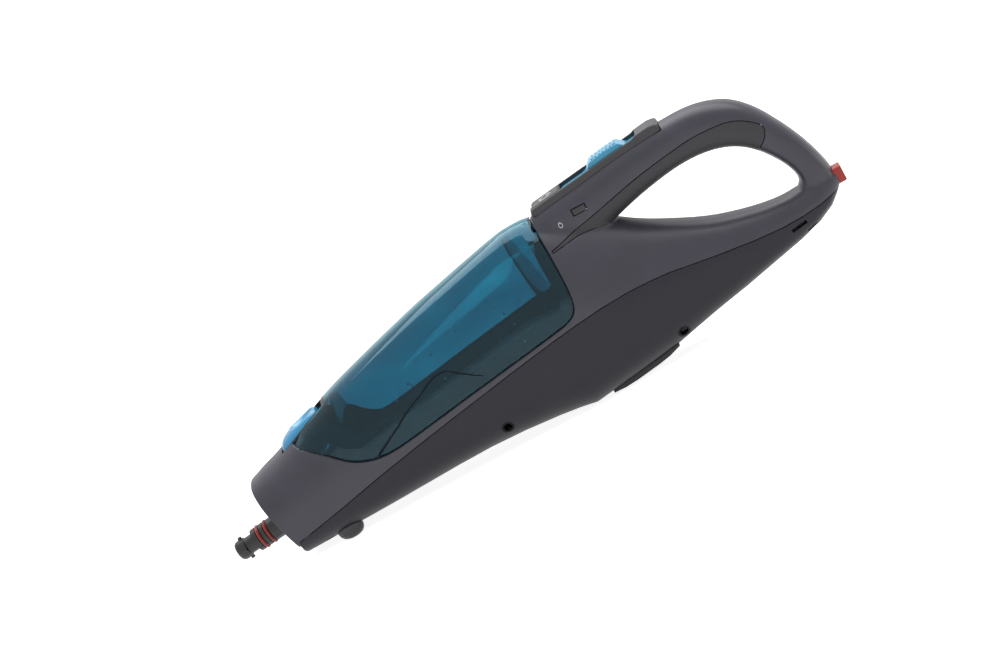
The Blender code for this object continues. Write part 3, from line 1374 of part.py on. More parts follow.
def slider(floor):
    """The blue slider: a thin deck, a ridged thumb rest, a tail under the hood and a stem."""
    half = SLIDER_WIDTH / 2
    end = CONSOLE_LENGTH - CONSOLE_RAIL_WIDTH - SLIDER_TRAVEL - FIT * 2
    low, deck = floor + FIT, floor + SLIDER_DECK
    thumb_end = THUMB_START + THUMB_LENGTH
    top = CONSOLE_RAIL_RISE + THUMB_RISE
    outline = [
        (SLIDER_START, low), (end, low), (end, deck), (thumb_end + THUMB_LENGTH * 0.08, deck), (thumb_end - THUMB_LENGTH * 0.1, top * 0.92),
        (thumb_end - THUMB_LENGTH * 0.5, top), (THUMB_START + THUMB_LENGTH * 0.16, top * 0.86), (THUMB_START, deck + THUMB_RISE * 0.2),
        (THUMB_START - THUMB_LENGTH * 0.12, deck), (SLIDER_START, deck),
    ]
    plain = rounded(console_prism("slider_plain", outline, half - FIT), FIT * 1.6, 1)
    body = copied(baked(plain, "slider_form"), "steam_slider", "slider_blue")
    for number in range(THUMB_RIDGES):
        along = THUMB_START + THUMB_LENGTH * (0.24 + 0.58 * number / (THUMB_RIDGES - 1))
        height = top * 0.93
        join(body, console_box("ridge", along, along + RIDGE_WIDTH, height - RIDGE_RISE, top + RIDGE_RISE, half * 0.8))
    stem = stem_start()
    join(body, console_box("stem", stem, stem + STEM_LENGTH, -CONSOLE_DEPTH - FIT * 2, low + FIT, STEM_WIDTH / 2))
    tooth = SLIDER_START + STEM_LENGTH * 0.4
    cut(body, console_box("front_notch", tooth, tooth + STEM_LENGTH * 0.5, low - OVERRUN, deck + OVERRUN, half * 0.45))
    switch("steam_switch", stem + STEM_LENGTH / 2, -CONSOLE_DEPTH - FIT * 3)


# Rear button

REAR_BUTTON_HEIGHT = 0.0120
REAR_BUTTON_WIDTH = 0.0130
REAR_BUTTON_PROUD = 0.0045
REAR_BUTTON_TALL = 0.0110
REAR_BUTTON_Z_SHARE = 0.388
REAR_BUTTON_TRAVEL = 0.0020
REAR_STEM_RADIUS = 0.0012
REAR_SWITCH_SIZE = 0.0060
REAR_SWITCH_DROP = 0.0012


def button_prism(name, half_tall, half_wide, start, reach, finish=None):
    """A box with rounded corners that runs along X from the start to past the rear."""
    steps = 4
    corner = min(half_tall, half_wide) * 0.35
    outline = []
    for centre_y, centre_z, turn in ((1, 1, 0), (-1, 1, 1), (-1, -1, 2), (1, -1, 3)):
        for i in range(steps + 1):
            angle = math.radians(90) * (turn + i / steps)
            y = centre_y * (half_wide - corner) + corner * math.cos(angle)
            z = centre_z * (half_tall - corner) + corner * math.sin(angle)
            outline.append(Vector((start, y, z_at(REAR_BUTTON_Z_SHARE) + z)))
    return prism(name, outline, Vector((x_at(END_SHARE) + reach - start, 0, 0)), finish)


def rear_button():
    """The red button at the rear end, its spring and its switch."""
    start = x_at(END_SHARE) - REAR_BUTTON_TALL
    z = z_at(REAR_BUTTON_Z_SHARE)
    plain = rounded(button_prism("rear_plain", REAR_BUTTON_HEIGHT / 2 - FIT, REAR_BUTTON_WIDTH / 2 - FIT, start, 0.0), REAR_BUTTON_PROUD * 0.2, 2)
    cap = copied(baked(plain, "rear_cap"), "rear_button", "button_red")
    face = x_at(END_SHARE) - REAR_BUTTON_TALL - REAR_BUTTON_TALL * 0.5
    join(cap, rod("rear_stem", (start + FIT, 0, z), (face + REAR_BUTTON_TRAVEL + FIT, 0, z), REAR_STEM_RADIUS, segments=10))
    half = REAR_SWITCH_SIZE / 2
    drop = z - REAR_SWITCH_DROP
    box("rear_switch", (face - REAR_SWITCH_SIZE, -half, drop - half), (face, half, drop + half), "switch_black")
    low = Vector((face + SPRING_WIRE + FIT, 0, z))
    high = Vector((start - SPRING_WIRE - FIT, 0, z))
    spring("rear_spring", low, high, SPRING_RADIUS, SPRING_WIRE, 3)


# Boiler

BOILER_FRONT_SHARE = -0.3080
BOILER_LENGTH = 0.0860
BOILER_WIDTH = 0.0420
BOILER_LOW = 0.0148
BOILER_TALL = 0.0095
BOILER_COVER = 0.0022
BOILER_RIB_SHARES = (0.10, 0.50, 0.90)
HEATER_RADIUS = 0.0030
HEATER_SPREAD = 0.0110
HEATER_LEAD = 0.0080
THERMOSTAT_RADIUS = 0.0080
THERMOSTAT_TALL = 0.0042
FUSE_RADIUS = 0.0020
FUSE_LENGTH = 0.0160
STEAM_PIPE_RADIUS = 0.0030


def boiler_x(share):
    """A place along the boiler."""
    return x_at(BOILER_FRONT_SHARE) + share * BOILER_LENGTH


def boiler():
    """The cast boiler with its cover, heating element, thermostat and thermal fuse."""
    front, rear = boiler_x(0), boiler_x(1)
    half = BOILER_WIDTH / 2
    top = BOILER_LOW + BOILER_TALL
    cast = rounded(box("boiler_plain", (front, -half, BOILER_LOW), (rear, half, top)), BOILER_TALL * 0.15, 2)
    cast = copied(baked(cast, "boiler_form"), "boiler_body", "aluminium")
    path = heater_path(front, rear, top)
    cut(cast, tube("heater_groove", path, HEATER_RADIUS + FIT, None, 1))
    fin = BOILER_LENGTH * 0.02
    for number in range(6):
        x = front + BOILER_LENGTH * (0.14 + 0.13 * number)
        for side in (-1, 1):
            edge = side * half
            low, high = sorted((edge - side * fin, edge + side * fin))
            cut(cast, box("fin_gap", (x, low, BOILER_LOW + BOILER_TALL * 0.2), (x + fin * 2, high, top + OVERRUN)))
    port = Vector((front, 0, BOILER_LOW + BOILER_TALL * 0.45))
    reach = Vector((STEAM_PIPE_RADIUS * 2, 0, 0))
    cut(cast, rod("steam_outlet", port - reach, port + reach, STEAM_PIPE_RADIUS + FIT))
    tube("heating_element", path, HEATER_RADIUS, "steel", 1)
    cover_low = top + HEATER_RADIUS + FIT
    lid = rounded(box("cover_plain", (front, -half, top + FIT), (rear, half, cover_low + BOILER_COVER)), BOILER_COVER * 0.3, 2)
    lid = copied(baked(lid, "cover_form"), "boiler_cover", "aluminium")
    cut(lid, tube("cover_groove", path, HEATER_RADIUS + FIT, None, 1))
    lid_top = cover_low + BOILER_COVER
    disc = Vector((boiler_x(0.72), 0, lid_top + FIT))
    turned(
        "thermostat",
        [(0, 0), (THERMOSTAT_RADIUS, 0), (THERMOSTAT_RADIUS, THERMOSTAT_TALL * 0.3), (THERMOSTAT_RADIUS * 0.85, THERMOSTAT_TALL * 0.35), (THERMOSTAT_RADIUS * 0.85, THERMOSTAT_TALL), (0, THERMOSTAT_TALL)],
        disc, (0, 0, 1), "steel", SMALL_ROUND,
    )
    z = lid_top + FUSE_RADIUS + FIT
    y = half * 0.62
    rod("thermal_fuse", (boiler_x(0.62), y, z), (boiler_x(0.62) + FUSE_LENGTH, y, z), FUSE_RADIUS, "brass", 10)


def heater_path(front, rear, top):
    """The element's U through the boiler, with both ends out at the rear."""
    spread = HEATER_SPREAD
    bend = front + BOILER_LENGTH * 0.30
    steps = 8
    points = [Vector((rear + HEATER_LEAD, -spread, top)), Vector((bend + spread, -spread, top))]
    for i in range(1, steps):
        angle = math.pi * i / steps
        points.append(Vector((bend + spread - spread * math.sin(angle), -spread * math.cos(angle), top)))
    points += [Vector((bend + spread, spread, top)), Vector((rear + HEATER_LEAD, spread, top))]
    return points


def steam_pipe():
    """The short pipe from the boiler to the spigot's tail."""
    tail = spigot_point(SPIGOT_LENGTH + FIT)
    port = Vector((boiler_x(0) + FIT, 0, BOILER_LOW + BOILER_TALL * 0.45))
    reach = STEAM_PIPE_RADIUS * 2
    tube("steam_pipe", run_between(tail, spigot_axis(), [], port + AHEAD * reach * 0.8, AHEAD, reach * 2, 6), STEAM_PIPE_RADIUS, "steel", 1)


def run_between(start, out, middle, end, into, lead, steps):
    """Points of a pipe that leaves along one way and arrives along another, straight at both ends."""
    points = [start + out * lead] + [Vector(point) for point in middle] + [end - into * lead]
    return [start] + smooth_line(points, steps) + [end]


# Pump

AHEAD = Vector((1, 0, 0))
PUMP_X = 0.0100
PUMP_RADIUS = 0.0085
PUMP_REAR_REACH = 0.0240
PUMP_FRONT_REACH = 0.0220
PUMP_NIPPLE = 0.0060
COIL_LENGTH = 0.0280
COIL_SIZE = 0.0300
PUMP_MOUNT_LENGTH = 0.0360
PUMP_MOUNT_WIDTH = 0.0300
PUMP_MOUNT_LOW = 0.0120
PUMP_MOUNT_THICKNESS = 0.0026
PUMP_RIB_SHARES = (0.15, 0.85)
HOSE_RADIUS = 0.0025


def pump_axis_z():
    """Height of the pump's axis."""
    return PUMP_MOUNT_LOW + PUMP_MOUNT_THICKNESS + FIT + COIL_SIZE / 2


def pump():
    """The vibrating pump: a round body through a square coil, on a rubber mount."""
    z = pump_axis_z()
    x = PUMP_X + PUMP_MOUNT_LENGTH / 2
    half = COIL_LENGTH / 2
    size = COIL_SIZE / 2
    coil = copied(baked(rounded(box("coil_plain", (x - half, -size, z - size), (x + half, size, z + size)), size * 0.12, 2), "coil_form"), "pump_coil", "copper_winding")
    cut(coil, rod("coil_bore", (x - COIL_LENGTH, 0, z), (x + COIL_LENGTH, 0, z), PUMP_RADIUS + FIT * 2))
    front, rear = half + PUMP_FRONT_REACH, half + PUMP_REAR_REACH
    nipple, radius = PUMP_NIPPLE, PUMP_RADIUS
    small = HOSE_RADIUS * 0.6
    head = radius * 1.12
    profile = [
        (0, -front), (small, -front), (small, -front + nipple), (head, -front + nipple), (head, -half - FIT * 4),
        (radius, -half - FIT * 3), (radius, half + FIT * 3), (head, half + FIT * 4), (head, rear - nipple),
        (small, rear - nipple), (small, rear), (0, rear),
    ]
    turned("pump_body", profile, (x, 0, z), (1, 0, 0), "brass", SMALL_ROUND)
    mount = copied(
        box("mount_plain", (PUMP_X, -PUMP_MOUNT_WIDTH / 2, PUMP_MOUNT_LOW), (PUMP_X + PUMP_MOUNT_LENGTH, PUMP_MOUNT_WIDTH / 2, PUMP_MOUNT_LOW + PUMP_MOUNT_THICKNESS)),
        "pump_mount", "seal_black",
    )
    wing = PUMP_MOUNT_THICKNESS
    gap = half + FIT * 2
    for side in (-1, 1):
        start = x + side * gap
        low, high = sorted((start, start + side * wing))
        plate = box("mount_wing", (low, -PUMP_MOUNT_WIDTH / 2, PUMP_MOUNT_LOW), (high, PUMP_MOUNT_WIDTH / 2, z - radius * 1.3))
        join(mount, plate)


def hoses():
    """The suction hose from the tank's port and the pressure hose to the boiler."""
    z = pump_axis_z()
    middle = PUMP_X + PUMP_MOUNT_LENGTH / 2
    inlet = Vector((middle - COIL_LENGTH / 2 - PUMP_FRONT_REACH - FIT, 0, z))
    outlet = Vector((middle + COIL_LENGTH / 2 + PUMP_REAR_REACH + FIT, 0, z))
    port = port_point()
    inner = VALVE_RADIUS + PORT_PLAY
    low = -SEAM_GAP - CRADLE_DROP - CRADLE_THICKNESS - FIT * 4 - PORT_DEPTH
    mouth = port + lift_axis() * (low + PORT_WALL + HOSE_RADIUS * 0.6) + Vector((0, inner + PORT_WALL + PORT_NIPPLE + FIT, 0))
    side = BOILER_WIDTH / 2 + HOSE_RADIUS * 2
    over = z_at(HOSE_HEIGHT_SHARE)
    suction = [
        Vector((mouth.x + HOSE_RADIUS * 4, side, over)), Vector((boiler_x(0.7), side, over)),
        Vector((boiler_x(1.05), side * 0.9, over)), Vector((inlet.x - HOSE_RADIUS * 7, side * 0.35, z)),
    ]
    run = run_between(mouth, Vector((0, 1, 0)), suction, inlet, AHEAD, HOSE_RADIUS, 3)
    nozzled("suction_hose", run, HOSE_RADIUS, (mouth, inlet))
    back = -(COIL_SIZE / 2 + HOSE_RADIUS * 2)
    feed = Vector((boiler_x(1) + FIT, -BOILER_WIDTH * 0.07, BOILER_LOW + BOILER_TALL / 2))
    pressure = [
        outlet + Vector((HOSE_RADIUS * 3, back * 0.4, 0)), outlet + Vector((0, back, 0)),
        Vector((middle, back - HOSE_RADIUS * 0.4, z)), Vector((inlet.x, back, over)), Vector((feed.x + HOSE_RADIUS * 8, back * 0.5, over * 0.92)), feed + Vector((HOSE_RADIUS * 4.5, 0, over * 0.28)),
    ]
    run = run_between(outlet, AHEAD, pressure, feed, -AHEAD, HOSE_RADIUS, 3)
    nozzled("pressure_hose", run, HOSE_RADIUS * 0.95, (outlet,))


def nozzled(name, run, radius, ends):
    """A hose along a run."""
    tube(name, run, radius, "hose_silicone", 1)


HOSE_HEIGHT_SHARE = 0.225


# Control board

BOARD_X_SHARE = 0.2250
BOARD_LENGTH = 0.0560
BOARD_WIDTH = 0.0240
BOARD_THICKNESS = 0.0016
BOARD_LIFT = 0.0060
BOARD_DEGREES = 10.5
BOARD_RIB_SHARES = (0.15, 0.85)
RELAY_SIZE = 0.0100
CAPACITOR_RADIUS = 0.0045


def board_point(along, up, y=0.0):
    """A point from its distance along the board and above its lower face."""
    angle = math.radians(BOARD_DEGREES)
    x = x_at(BOARD_X_SHARE)
    start = Vector((x, y, hull_floor(x) + BOARD_LIFT))
    return start + Vector((math.cos(angle), 0, math.sin(angle))) * along + Vector((-math.sin(angle), 0, math.cos(angle))) * up


def board_box(name, start, end, low, high, near, far):
    """A box in the board's frame."""
    outline = [(start, low), (end, low), (end, high), (start, high)]
    return prism(name, [board_point(along, up, near) for along, up in outline], Vector((0, far - near, 0)))


def control_board():
    """The circuit board with its relay, capacitor and connector block."""
    half = BOARD_WIDTH / 2
    board = copied(board_box("board_plain", 0.0, BOARD_LENGTH, 0.0, BOARD_THICKNESS, -half, half), "control_board", "board_green")
    top = BOARD_THICKNESS * 0.5
    join(board, board_box("relay", BOARD_LENGTH * 0.12, BOARD_LENGTH * 0.12 + RELAY_SIZE * 1.6, top, RELAY_SIZE, -half * 0.8, -half * 0.8 + RELAY_SIZE))
    join(board, board_box("connector", BOARD_LENGTH * 0.62, BOARD_LENGTH * 0.62 + RELAY_SIZE, top, RELAY_SIZE * 0.8, -half * 0.7, half * 0.7))
    foot = board_point(BOARD_LENGTH * 0.30, top, half * 0.45)
    head = board_point(BOARD_LENGTH * 0.30, RELAY_SIZE * 1.2, half * 0.45)
    join(board, rod("capacitor", foot, head, CAPACITOR_RADIUS))


def wiring_loom():
    """The wires from the board up to the switches in the handle."""
    plug = BOARD_LENGTH * 0.62 + RELAY_SIZE * 0.5
    start = board_point(plug, RELAY_SIZE * 0.8 + FIT)
    up = (board_point(plug, RELAY_SIZE) - board_point(plug, 0)).normalized()
    end = console_point(BUTTON_START + BUTTON_LENGTH / 2, power_switch_top() - SWITCH_TALL * 1.4 - FIT)
    rise = lift_axis()
    middle = [Vector((x_at(0.24), 0, z_at(0.38))), Vector((x_at(0.17), 0, z_at(0.52)))]
    tube("wiring_loom", run_between(start, up, middle, end, rise, LOOM_RADIUS * 3, 3), LOOM_RADIUS, "switch_black", 1)


LOOM_RADIUS = 0.0018


# Screws


def screws():
    """The two housing screws, driven from the left."""
    for name, shares in SCREW_PLACE_SHARES.items():
        x, z = x_at(shares[0]), z_at(shares[1])
        head = SCREW_HEAD_HEIGHT
        profile = [
            (0, -head), (SCREW_HEAD_RADIUS * 0.8, -head), (SCREW_HEAD_RADIUS, -head * 0.6), (SCREW_HEAD_RADIUS, -FIT),
            (SCREW_SHANK_RADIUS, -FIT), (SCREW_SHANK_RADIUS, SCREW_LENGTH * 0.9), (SCREW_SHANK_RADIUS * 0.4, SCREW_LENGTH - FIT), (0, SCREW_LENGTH - FIT),
        ]
        form = turned("screw_form", profile, (x, -RECESS_FLOOR_Y, z), (0, 1, 0), None, SMALL_ROUND)
        screw = copied(form, "housing_screw_" + name, "steel")
        reach = SCREW_HEAD_RADIUS * 0.7
        face = -RECESS_FLOOR_Y - head
        bar = SCREW_SLOT / 2
        for along, across in ((reach, bar), (bar, reach)):
            cut(screw, box("cross", (x - along, face - head, z - across), (x + along, face + head * 0.5, z + across)))


def main():
    """Build the whole object."""
    outer, hollow = housing_forms()
    hollow_plain = hull_inside("seat_form", WALL + FIT * 2)
    skin = hull("skin_form", -FIT)
    tools = {"half_left": half_space("half_left", -1), "half_right": half_space("half_right", 1)}
    housing_shells(outer, hollow, tools)
    console_clips(outer, tools)
    spigot()
    nose_bulkhead(hollow_plain)
    feet(skin)
    belly_skid(skin)
    tank(tools)
    cradle(hollow_plain)
    latch()
    floor = console(outer)
    power_button()
    slider(floor)
    rear_button()
    boiler()
    steam_pipe()
    pump()
    hoses()
    control_board()
    wiring_loom()
    screws()


clear_scene()
PARTS = new_collection("steam_cleaner")
CUTTERS = new_collection("cutters")
CUTTERS.hide_render = True
main()
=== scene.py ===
"""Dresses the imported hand-held steam cleaner: camera, studio, finishes and the fine skins that only show."""

import logging
import math
import random
from dataclasses import dataclass
from enum import Enum, IntEnum
from typing import Callable, Mapping, Sequence

import bmesh
import bpy
import numpy as np
from mathutils import Matrix, Vector
from mathutils.bvhtree import BVHTree


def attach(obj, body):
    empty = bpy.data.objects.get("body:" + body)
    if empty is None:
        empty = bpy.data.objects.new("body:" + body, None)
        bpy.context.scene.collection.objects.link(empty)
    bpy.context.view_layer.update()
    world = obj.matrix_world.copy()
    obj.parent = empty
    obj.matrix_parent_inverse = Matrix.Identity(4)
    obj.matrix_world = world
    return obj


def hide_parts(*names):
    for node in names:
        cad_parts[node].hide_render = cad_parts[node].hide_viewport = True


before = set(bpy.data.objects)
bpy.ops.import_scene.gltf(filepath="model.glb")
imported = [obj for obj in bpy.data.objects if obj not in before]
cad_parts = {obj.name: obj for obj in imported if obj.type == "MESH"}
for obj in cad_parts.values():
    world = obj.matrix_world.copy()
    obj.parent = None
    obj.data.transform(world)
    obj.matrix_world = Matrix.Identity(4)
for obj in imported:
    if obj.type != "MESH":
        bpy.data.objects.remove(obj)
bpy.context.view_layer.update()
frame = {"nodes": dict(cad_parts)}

logging.basicConfig(level=logging.INFO, format="%(message)s")
log = logging.getLogger("steam_cleaner")

Colour = tuple[float, float, float]
Triple = tuple[float, float, float]
Pair = tuple[float, float]
Line = tuple[Pair, ...]
Value = float | np.ndarray
Faces = list[tuple[int, ...]]
Settings = Mapping[str, object]
Inputs = Mapping[str | int, object]
Socket = bpy.types.NodeSocket
Piece = bpy.types.Object

LEFT, RIGHT = -1.0, 1.0
SIDES = (("left", LEFT), ("right", RIGHT))
WHITE = (1.0, 1.0, 1.0)
OUTSIDE = 0.2  # a distance that is clear of the cleaner on every side
MM_PER_M = 1000.0


# Shader maths

MIX_SHARE, MIX_LOW, MIX_HIGH, MIX_RESULT = 0, 6, 7, 2  # sockets of a Mix node for colours
BEVEL_SAMPLES = 4
EDGE_SPREAD = (0.02, 0.22)


class Number:
    """A number socket in a node tree that takes part in Python sums."""

    def __init__(self, graph: "Graph", socket: Socket) -> None:
        """Keep the tree's wrapper and the socket."""
        self.graph = graph
        self.socket = socket

    def __add__(self, other: "Number | float") -> "Number":
        """Sum."""
        return self.graph.maths("ADD", self, other)

    __radd__ = __add__

    def __sub__(self, other: "Number | float") -> "Number":
        """Difference."""
        return self.graph.maths("SUBTRACT", self, other)

    def __rsub__(self, other: "Number | float") -> "Number":
        """Difference from a plain number."""
        return self.graph.maths("SUBTRACT", other, self)

    def __mul__(self, other: "Number | float") -> "Number":
        """Product."""
        return self.graph.maths("MULTIPLY", self, other)

    __rmul__ = __mul__

    def larger(self, other: "Number | float") -> "Number":
        """The larger of two values."""
        return self.graph.maths("MAXIMUM", self, other)

    def span(self, low: float, high: float, start: float = 0.0, end: float = 1.0) -> "Number":
        """The value carried smoothly from one range to another.

        Args:
            low: Value that gives the start.
            high: Value that gives the end.
            start: Result at the low value and under it.
            end: Result at the high value and over it.

        Returns:
            The carried value.
        """
        return self.graph.number(
            "ShaderNodeMapRange", {"interpolation_type": "SMOOTHSTEP"},
            {"Value": self, "From Min": low, "From Max": high, "To Min": start, "To Max": end},
        )


class Graph:
    """Builds nodes in one node tree."""

    def __init__(self, tree: bpy.types.NodeTree) -> None:
        """Keep the tree."""
        self.tree = tree

    def feed(self, socket: Socket, value: object) -> None:
        """Give a socket its value or its link.

        Args:
            socket: The input socket.
            value: A Number, another node's output, a colour, a vector or a plain number.
        """
        if isinstance(value, Number):
            value = value.socket
        if isinstance(value, Socket):
            self.tree.links.new(value, socket)
        elif socket.type == "RGBA":
            socket.default_value = (*tuple(value)[:3], 1.0)
        else:
            socket.default_value = value

    def node(self, kind: str, settings: Settings | None = None, inputs: Inputs | None = None) -> bpy.types.Node:
        """Add a node of any type.

        Args:
            kind: The node's type.
            settings: Its own settings, which are set first.
            inputs: Values or links, by socket name or number.

        Returns:
            The node.
        """
        made = self.tree.nodes.new(kind)
        for name, value in (settings or {}).items():
            setattr(made, name, value)
        for name, value in (inputs or {}).items():
            self.feed(made.inputs[name], value)
        return made

    def number(
        self, kind: str, settings: Settings | None = None, inputs: Inputs | None = None, output: str | int = 0
    ) -> Number:
        """Add a node and take one of its outputs, by name or place, as a number."""
        return Number(self, self.node(kind, settings, inputs).outputs[output])

    def maths(self, operation: str, *values: "Number | float") -> Number:
        """Add a Math node that works out one operation on its inputs, which are given in order."""
        return self.number("ShaderNodeMath", {"operation": operation}, dict(enumerate(values)))

    def place(self) -> Socket:
        """The point on the object, in metres."""
        return self.node("ShaderNodeTexCoord").outputs["Object"]

    def axis(self, point: Socket, name: str) -> Number:
        """One coordinate of a point."""
        return self.number("ShaderNodeSeparateXYZ", None, {0: point}, name)

    def stretched(self, point: Socket, scale: Sequence[float], turn: Sequence[float] = (0, 0, 0)) -> Socket:
        """The point, scaled and turned, for grain that runs one way.

        Args:
            point: The point.
            scale: Factor on each axis.
            turn: Turn about each axis, in degrees.

        Returns:
            The new point.
        """
        angles = tuple(math.radians(value) for value in turn)
        inputs = {"Vector": point, "Rotation": angles, "Scale": tuple(scale)}
        return self.node("ShaderNodeMapping", None, inputs).outputs[0]

    def noise(self, point: Socket, size: float, detail: float = 2.0, warp: float = 0.0) -> Number:
        """Soft noise from 0 to 1.

        Args:
            point: Where it is read.
            size: Size of its blotches in metres.
            detail: How many finer layers it has.
            warp: How far it is warped.

        Returns:
            The noise.
        """
        return self.number(
            "ShaderNodeTexNoise", None, {"Vector": point, "Scale": 1.0 / size, "Detail": detail, "Distortion": warp}
        )

    def blend(self, share: "Number | float", low: object, high: object) -> Socket:
        """Mix two colours. The share says how much of the second shows."""
        inputs = {MIX_SHARE: share, MIX_LOW: low, MIX_HIGH: high}
        return self.node("ShaderNodeMix", {"data_type": "RGBA"}, inputs).outputs[MIX_RESULT]

    def rounded(self, radius: float) -> Socket:
        """The normal of a surface whose edges are rounded."""
        return self.node("ShaderNodeBevel", {"samples": BEVEL_SAMPLES}, {"Radius": radius}).outputs[0]

    def edges(self, rounded: Socket) -> Number:
        """One at edges and none on open faces.

        Args:
            rounded: The normal of the surface with its edges rounded.

        Returns:
            The mask.
        """
        plain = self.node("ShaderNodeNewGeometry").outputs["Normal"]
        agreed = self.number("ShaderNodeVectorMath", {"operation": "DOT_PRODUCT"}, {0: rounded, 1: plain}, "Value")
        return (1.0 - agreed).span(*EDGE_SPREAD)

    def bump(self, height: Number, depth: float, normal: Socket | None = None) -> Socket:
        """A relief on top of a normal.

        Args:
            height: The relief, from 0 to 1.
            depth: Its full depth in metres.
            normal: The normal that it is laid on, or none for the surface's own.

        Returns:
            The new normal.
        """
        inputs = {"Strength": 1.0, "Distance": depth, "Height": height}
        if normal is not None:
            inputs["Normal"] = normal
        return self.node("ShaderNodeBump", None, inputs).outputs[0]

    def show(self, kind: str, inputs: Inputs, output: str = "ShaderNodeOutputMaterial") -> None:
        """Add the last shader and send it to the output of the material, or of the world."""
        self.node(output, None, {"Surface": self.node(kind, None, inputs).outputs[0]})


def blank(holder: bpy.types.Material | bpy.types.World) -> Graph:
    """Empty the node tree of a material or of the world.

    Args:
        holder: What the tree belongs to.

    Returns:
        The tree's wrapper.
    """
    holder.use_nodes = True
    holder.node_tree.nodes.clear()
    return Graph(holder.node_tree)


# Finishes

BLOTCH, BLOTCH_SPREAD = (0.030, 3.0, 0.4), (0.3, 0.7)  # a noise has its size, detail and warp
GRAIN_SPREAD, GRAIN_SHARE, GRAIN_TONE, GRAIN_ROUGH = (0.35, 0.75), 0.25, 0.72, 0.08
WEAR, WEAR_SPREAD, WORN_GAIN, WORN_LIFT, WORN_ROUGH = (0.006, 3.0), (0.30, 0.65), 1.9, 0.03, 0.06
# Painted shade in the grooves of wound wire: where the grooves darken, and how dark.
WIRE_GROOVE_SPREAD, WIRE_GROOVE_SHADE = (0.2, 0.6), 0.3
TRACK_SHARE, TRACK_TONE = 0.6, 1.8
BRUSH_STRETCH = (1.0, 14.0, 14.0)
TRACK_GRID = {"Scale": 160.0, "Mortar Size": 0.06, "Mortar Smooth": 0.2, "Brick Width": 0.9, "Row Height": 0.3}


class Pattern(Enum):
    """The relief that a finish has besides its grain."""

    NONE = "none"
    BRUSHED = "brushed"
    TURNED = "turned"
    WOUND = "wound"
    CAST = "cast"
    TRACKS = "tracks"


# The share of the relief that is not grain, with the pitch of its rings or with its noise
RINGS = {Pattern.TURNED: (0.6, 0.0006), Pattern.WOUND: (0.9, 0.0009)}
NOISES = {
    Pattern.NONE: (0.2, (0.012, 2.0)), Pattern.TRACKS: (0.2, (0.012, 2.0)),
    Pattern.BRUSHED: (0.6, (0.004, 3.0)), Pattern.CAST: (0.5, (0.0022, 4.0)),
}


@dataclass(frozen=True)
class Finish:
    """An opaque finish with grain, mottling, smudges and worn edges."""

    name: str
    colour: Colour
    roughness: float
    metallic: float = 0.0
    grain: float = 0.00045
    depth: float = 0.000018
    mottle: float = 0.10
    smudge: float = 0.07
    wear: float = 0.35
    edge: float = 0.00045
    pattern: Pattern = Pattern.NONE
    fixed: tuple[tuple[str, float], ...] = ()

    def build(self) -> bpy.types.Material:
        """Make the Blender material.

        Returns:
            The material.
        """
        material = bpy.data.materials.new("dressed_" + self.name)
        graph = blank(material)
        point, rounded = graph.place(), graph.rounded(self.edge)
        blotch = graph.noise(point, *BLOTCH)
        fine = graph.noise(point, self.grain)
        rim = graph.edges(rounded) * graph.noise(point, *WEAR).span(*WEAR_SPREAD)
        smears = (blotch - 0.5) * (self.smudge * 2.0)
        inputs = {
            "Base Color": graph.blend(
                rim * self.wear, self.shade(graph, point, blotch, fine), self.tone(WORN_GAIN, WORN_LIFT)
            ),
            "Roughness": self.roughness + smears + (fine - 0.5) * GRAIN_ROUGH - rim * WORN_ROUGH,
            "Metallic": self.metallic, "Normal": graph.bump(self.relief(graph, point, fine), self.depth, rounded),
        }
        inputs.update(self.fixed)
        graph.show("ShaderNodeBsdfPrincipled", inputs)
        material.diffuse_color = (*self.colour, 1.0)
        return material

    def tone(self, gain: float, lift: float = 0.0) -> Colour:
        """The finish's colour, made lighter or darker."""
        return tuple(min(1.0, part * gain + lift) for part in self.colour)

    def shade(self, graph: Graph, point: Socket, blotch: Number, fine: Number) -> Socket:
        """The base colour with its mottling, the pattern's own tones and the painted shade in the grooves of wound
        wire.

        Args:
            graph: The tree.
            point: The point on the object.
            blotch: Wide soft noise.
            fine: The grain.

        Returns:
            The colour.
        """
        shade = graph.blend(blotch.span(*BLOTCH_SPREAD), self.tone(1.0 - self.mottle), self.tone(1.0 + self.mottle))
        shade = graph.blend(fine.span(*GRAIN_SPREAD) * GRAIN_SHARE, shade, self.tone(GRAIN_TONE))
        if self.pattern is Pattern.TRACKS:
            track = graph.number("ShaderNodeTexBrick", None, {"Vector": point, **TRACK_GRID}, "Fac")
            shade = graph.blend(track * TRACK_SHARE, shade, self.tone(TRACK_TONE))
        # Wound wire is painted darker in the grooves between its turns: painted shade.
        if self.pattern is Pattern.WOUND:
            groove_shade = self.rings(graph, point, RINGS[self.pattern][1]).span(*WIRE_GROOVE_SPREAD)
            shade = graph.blend(groove_shade, self.tone(WIRE_GROOVE_SHADE), shade)
        return shade

    def rings(self, graph: Graph, point: Socket, pitch: float) -> Number:
        """Fine rings along the object's length, from 0 to 1."""
        return graph.maths("SINE", graph.axis(point, "X") * (math.tau / pitch)) * 0.5 + 0.5

    def relief(self, graph: Graph, point: Socket, fine: Number) -> Number:
        """The height of the finish's relief, from 0 to 1.

        Args:
            graph: The tree.
            point: The point on the object.
            fine: The grain.

        Returns:
            The height.
        """
        if self.pattern in RINGS:
            share, pitch = RINGS[self.pattern]
            second = self.rings(graph, point, pitch)
        else:
            share, noise = NOISES[self.pattern]
            brushed = self.pattern is Pattern.BRUSHED
            second = graph.noise(graph.stretched(point, BRUSH_STRETCH) if brushed else point, *noise)
        return fine * (1.0 - share) + second * share


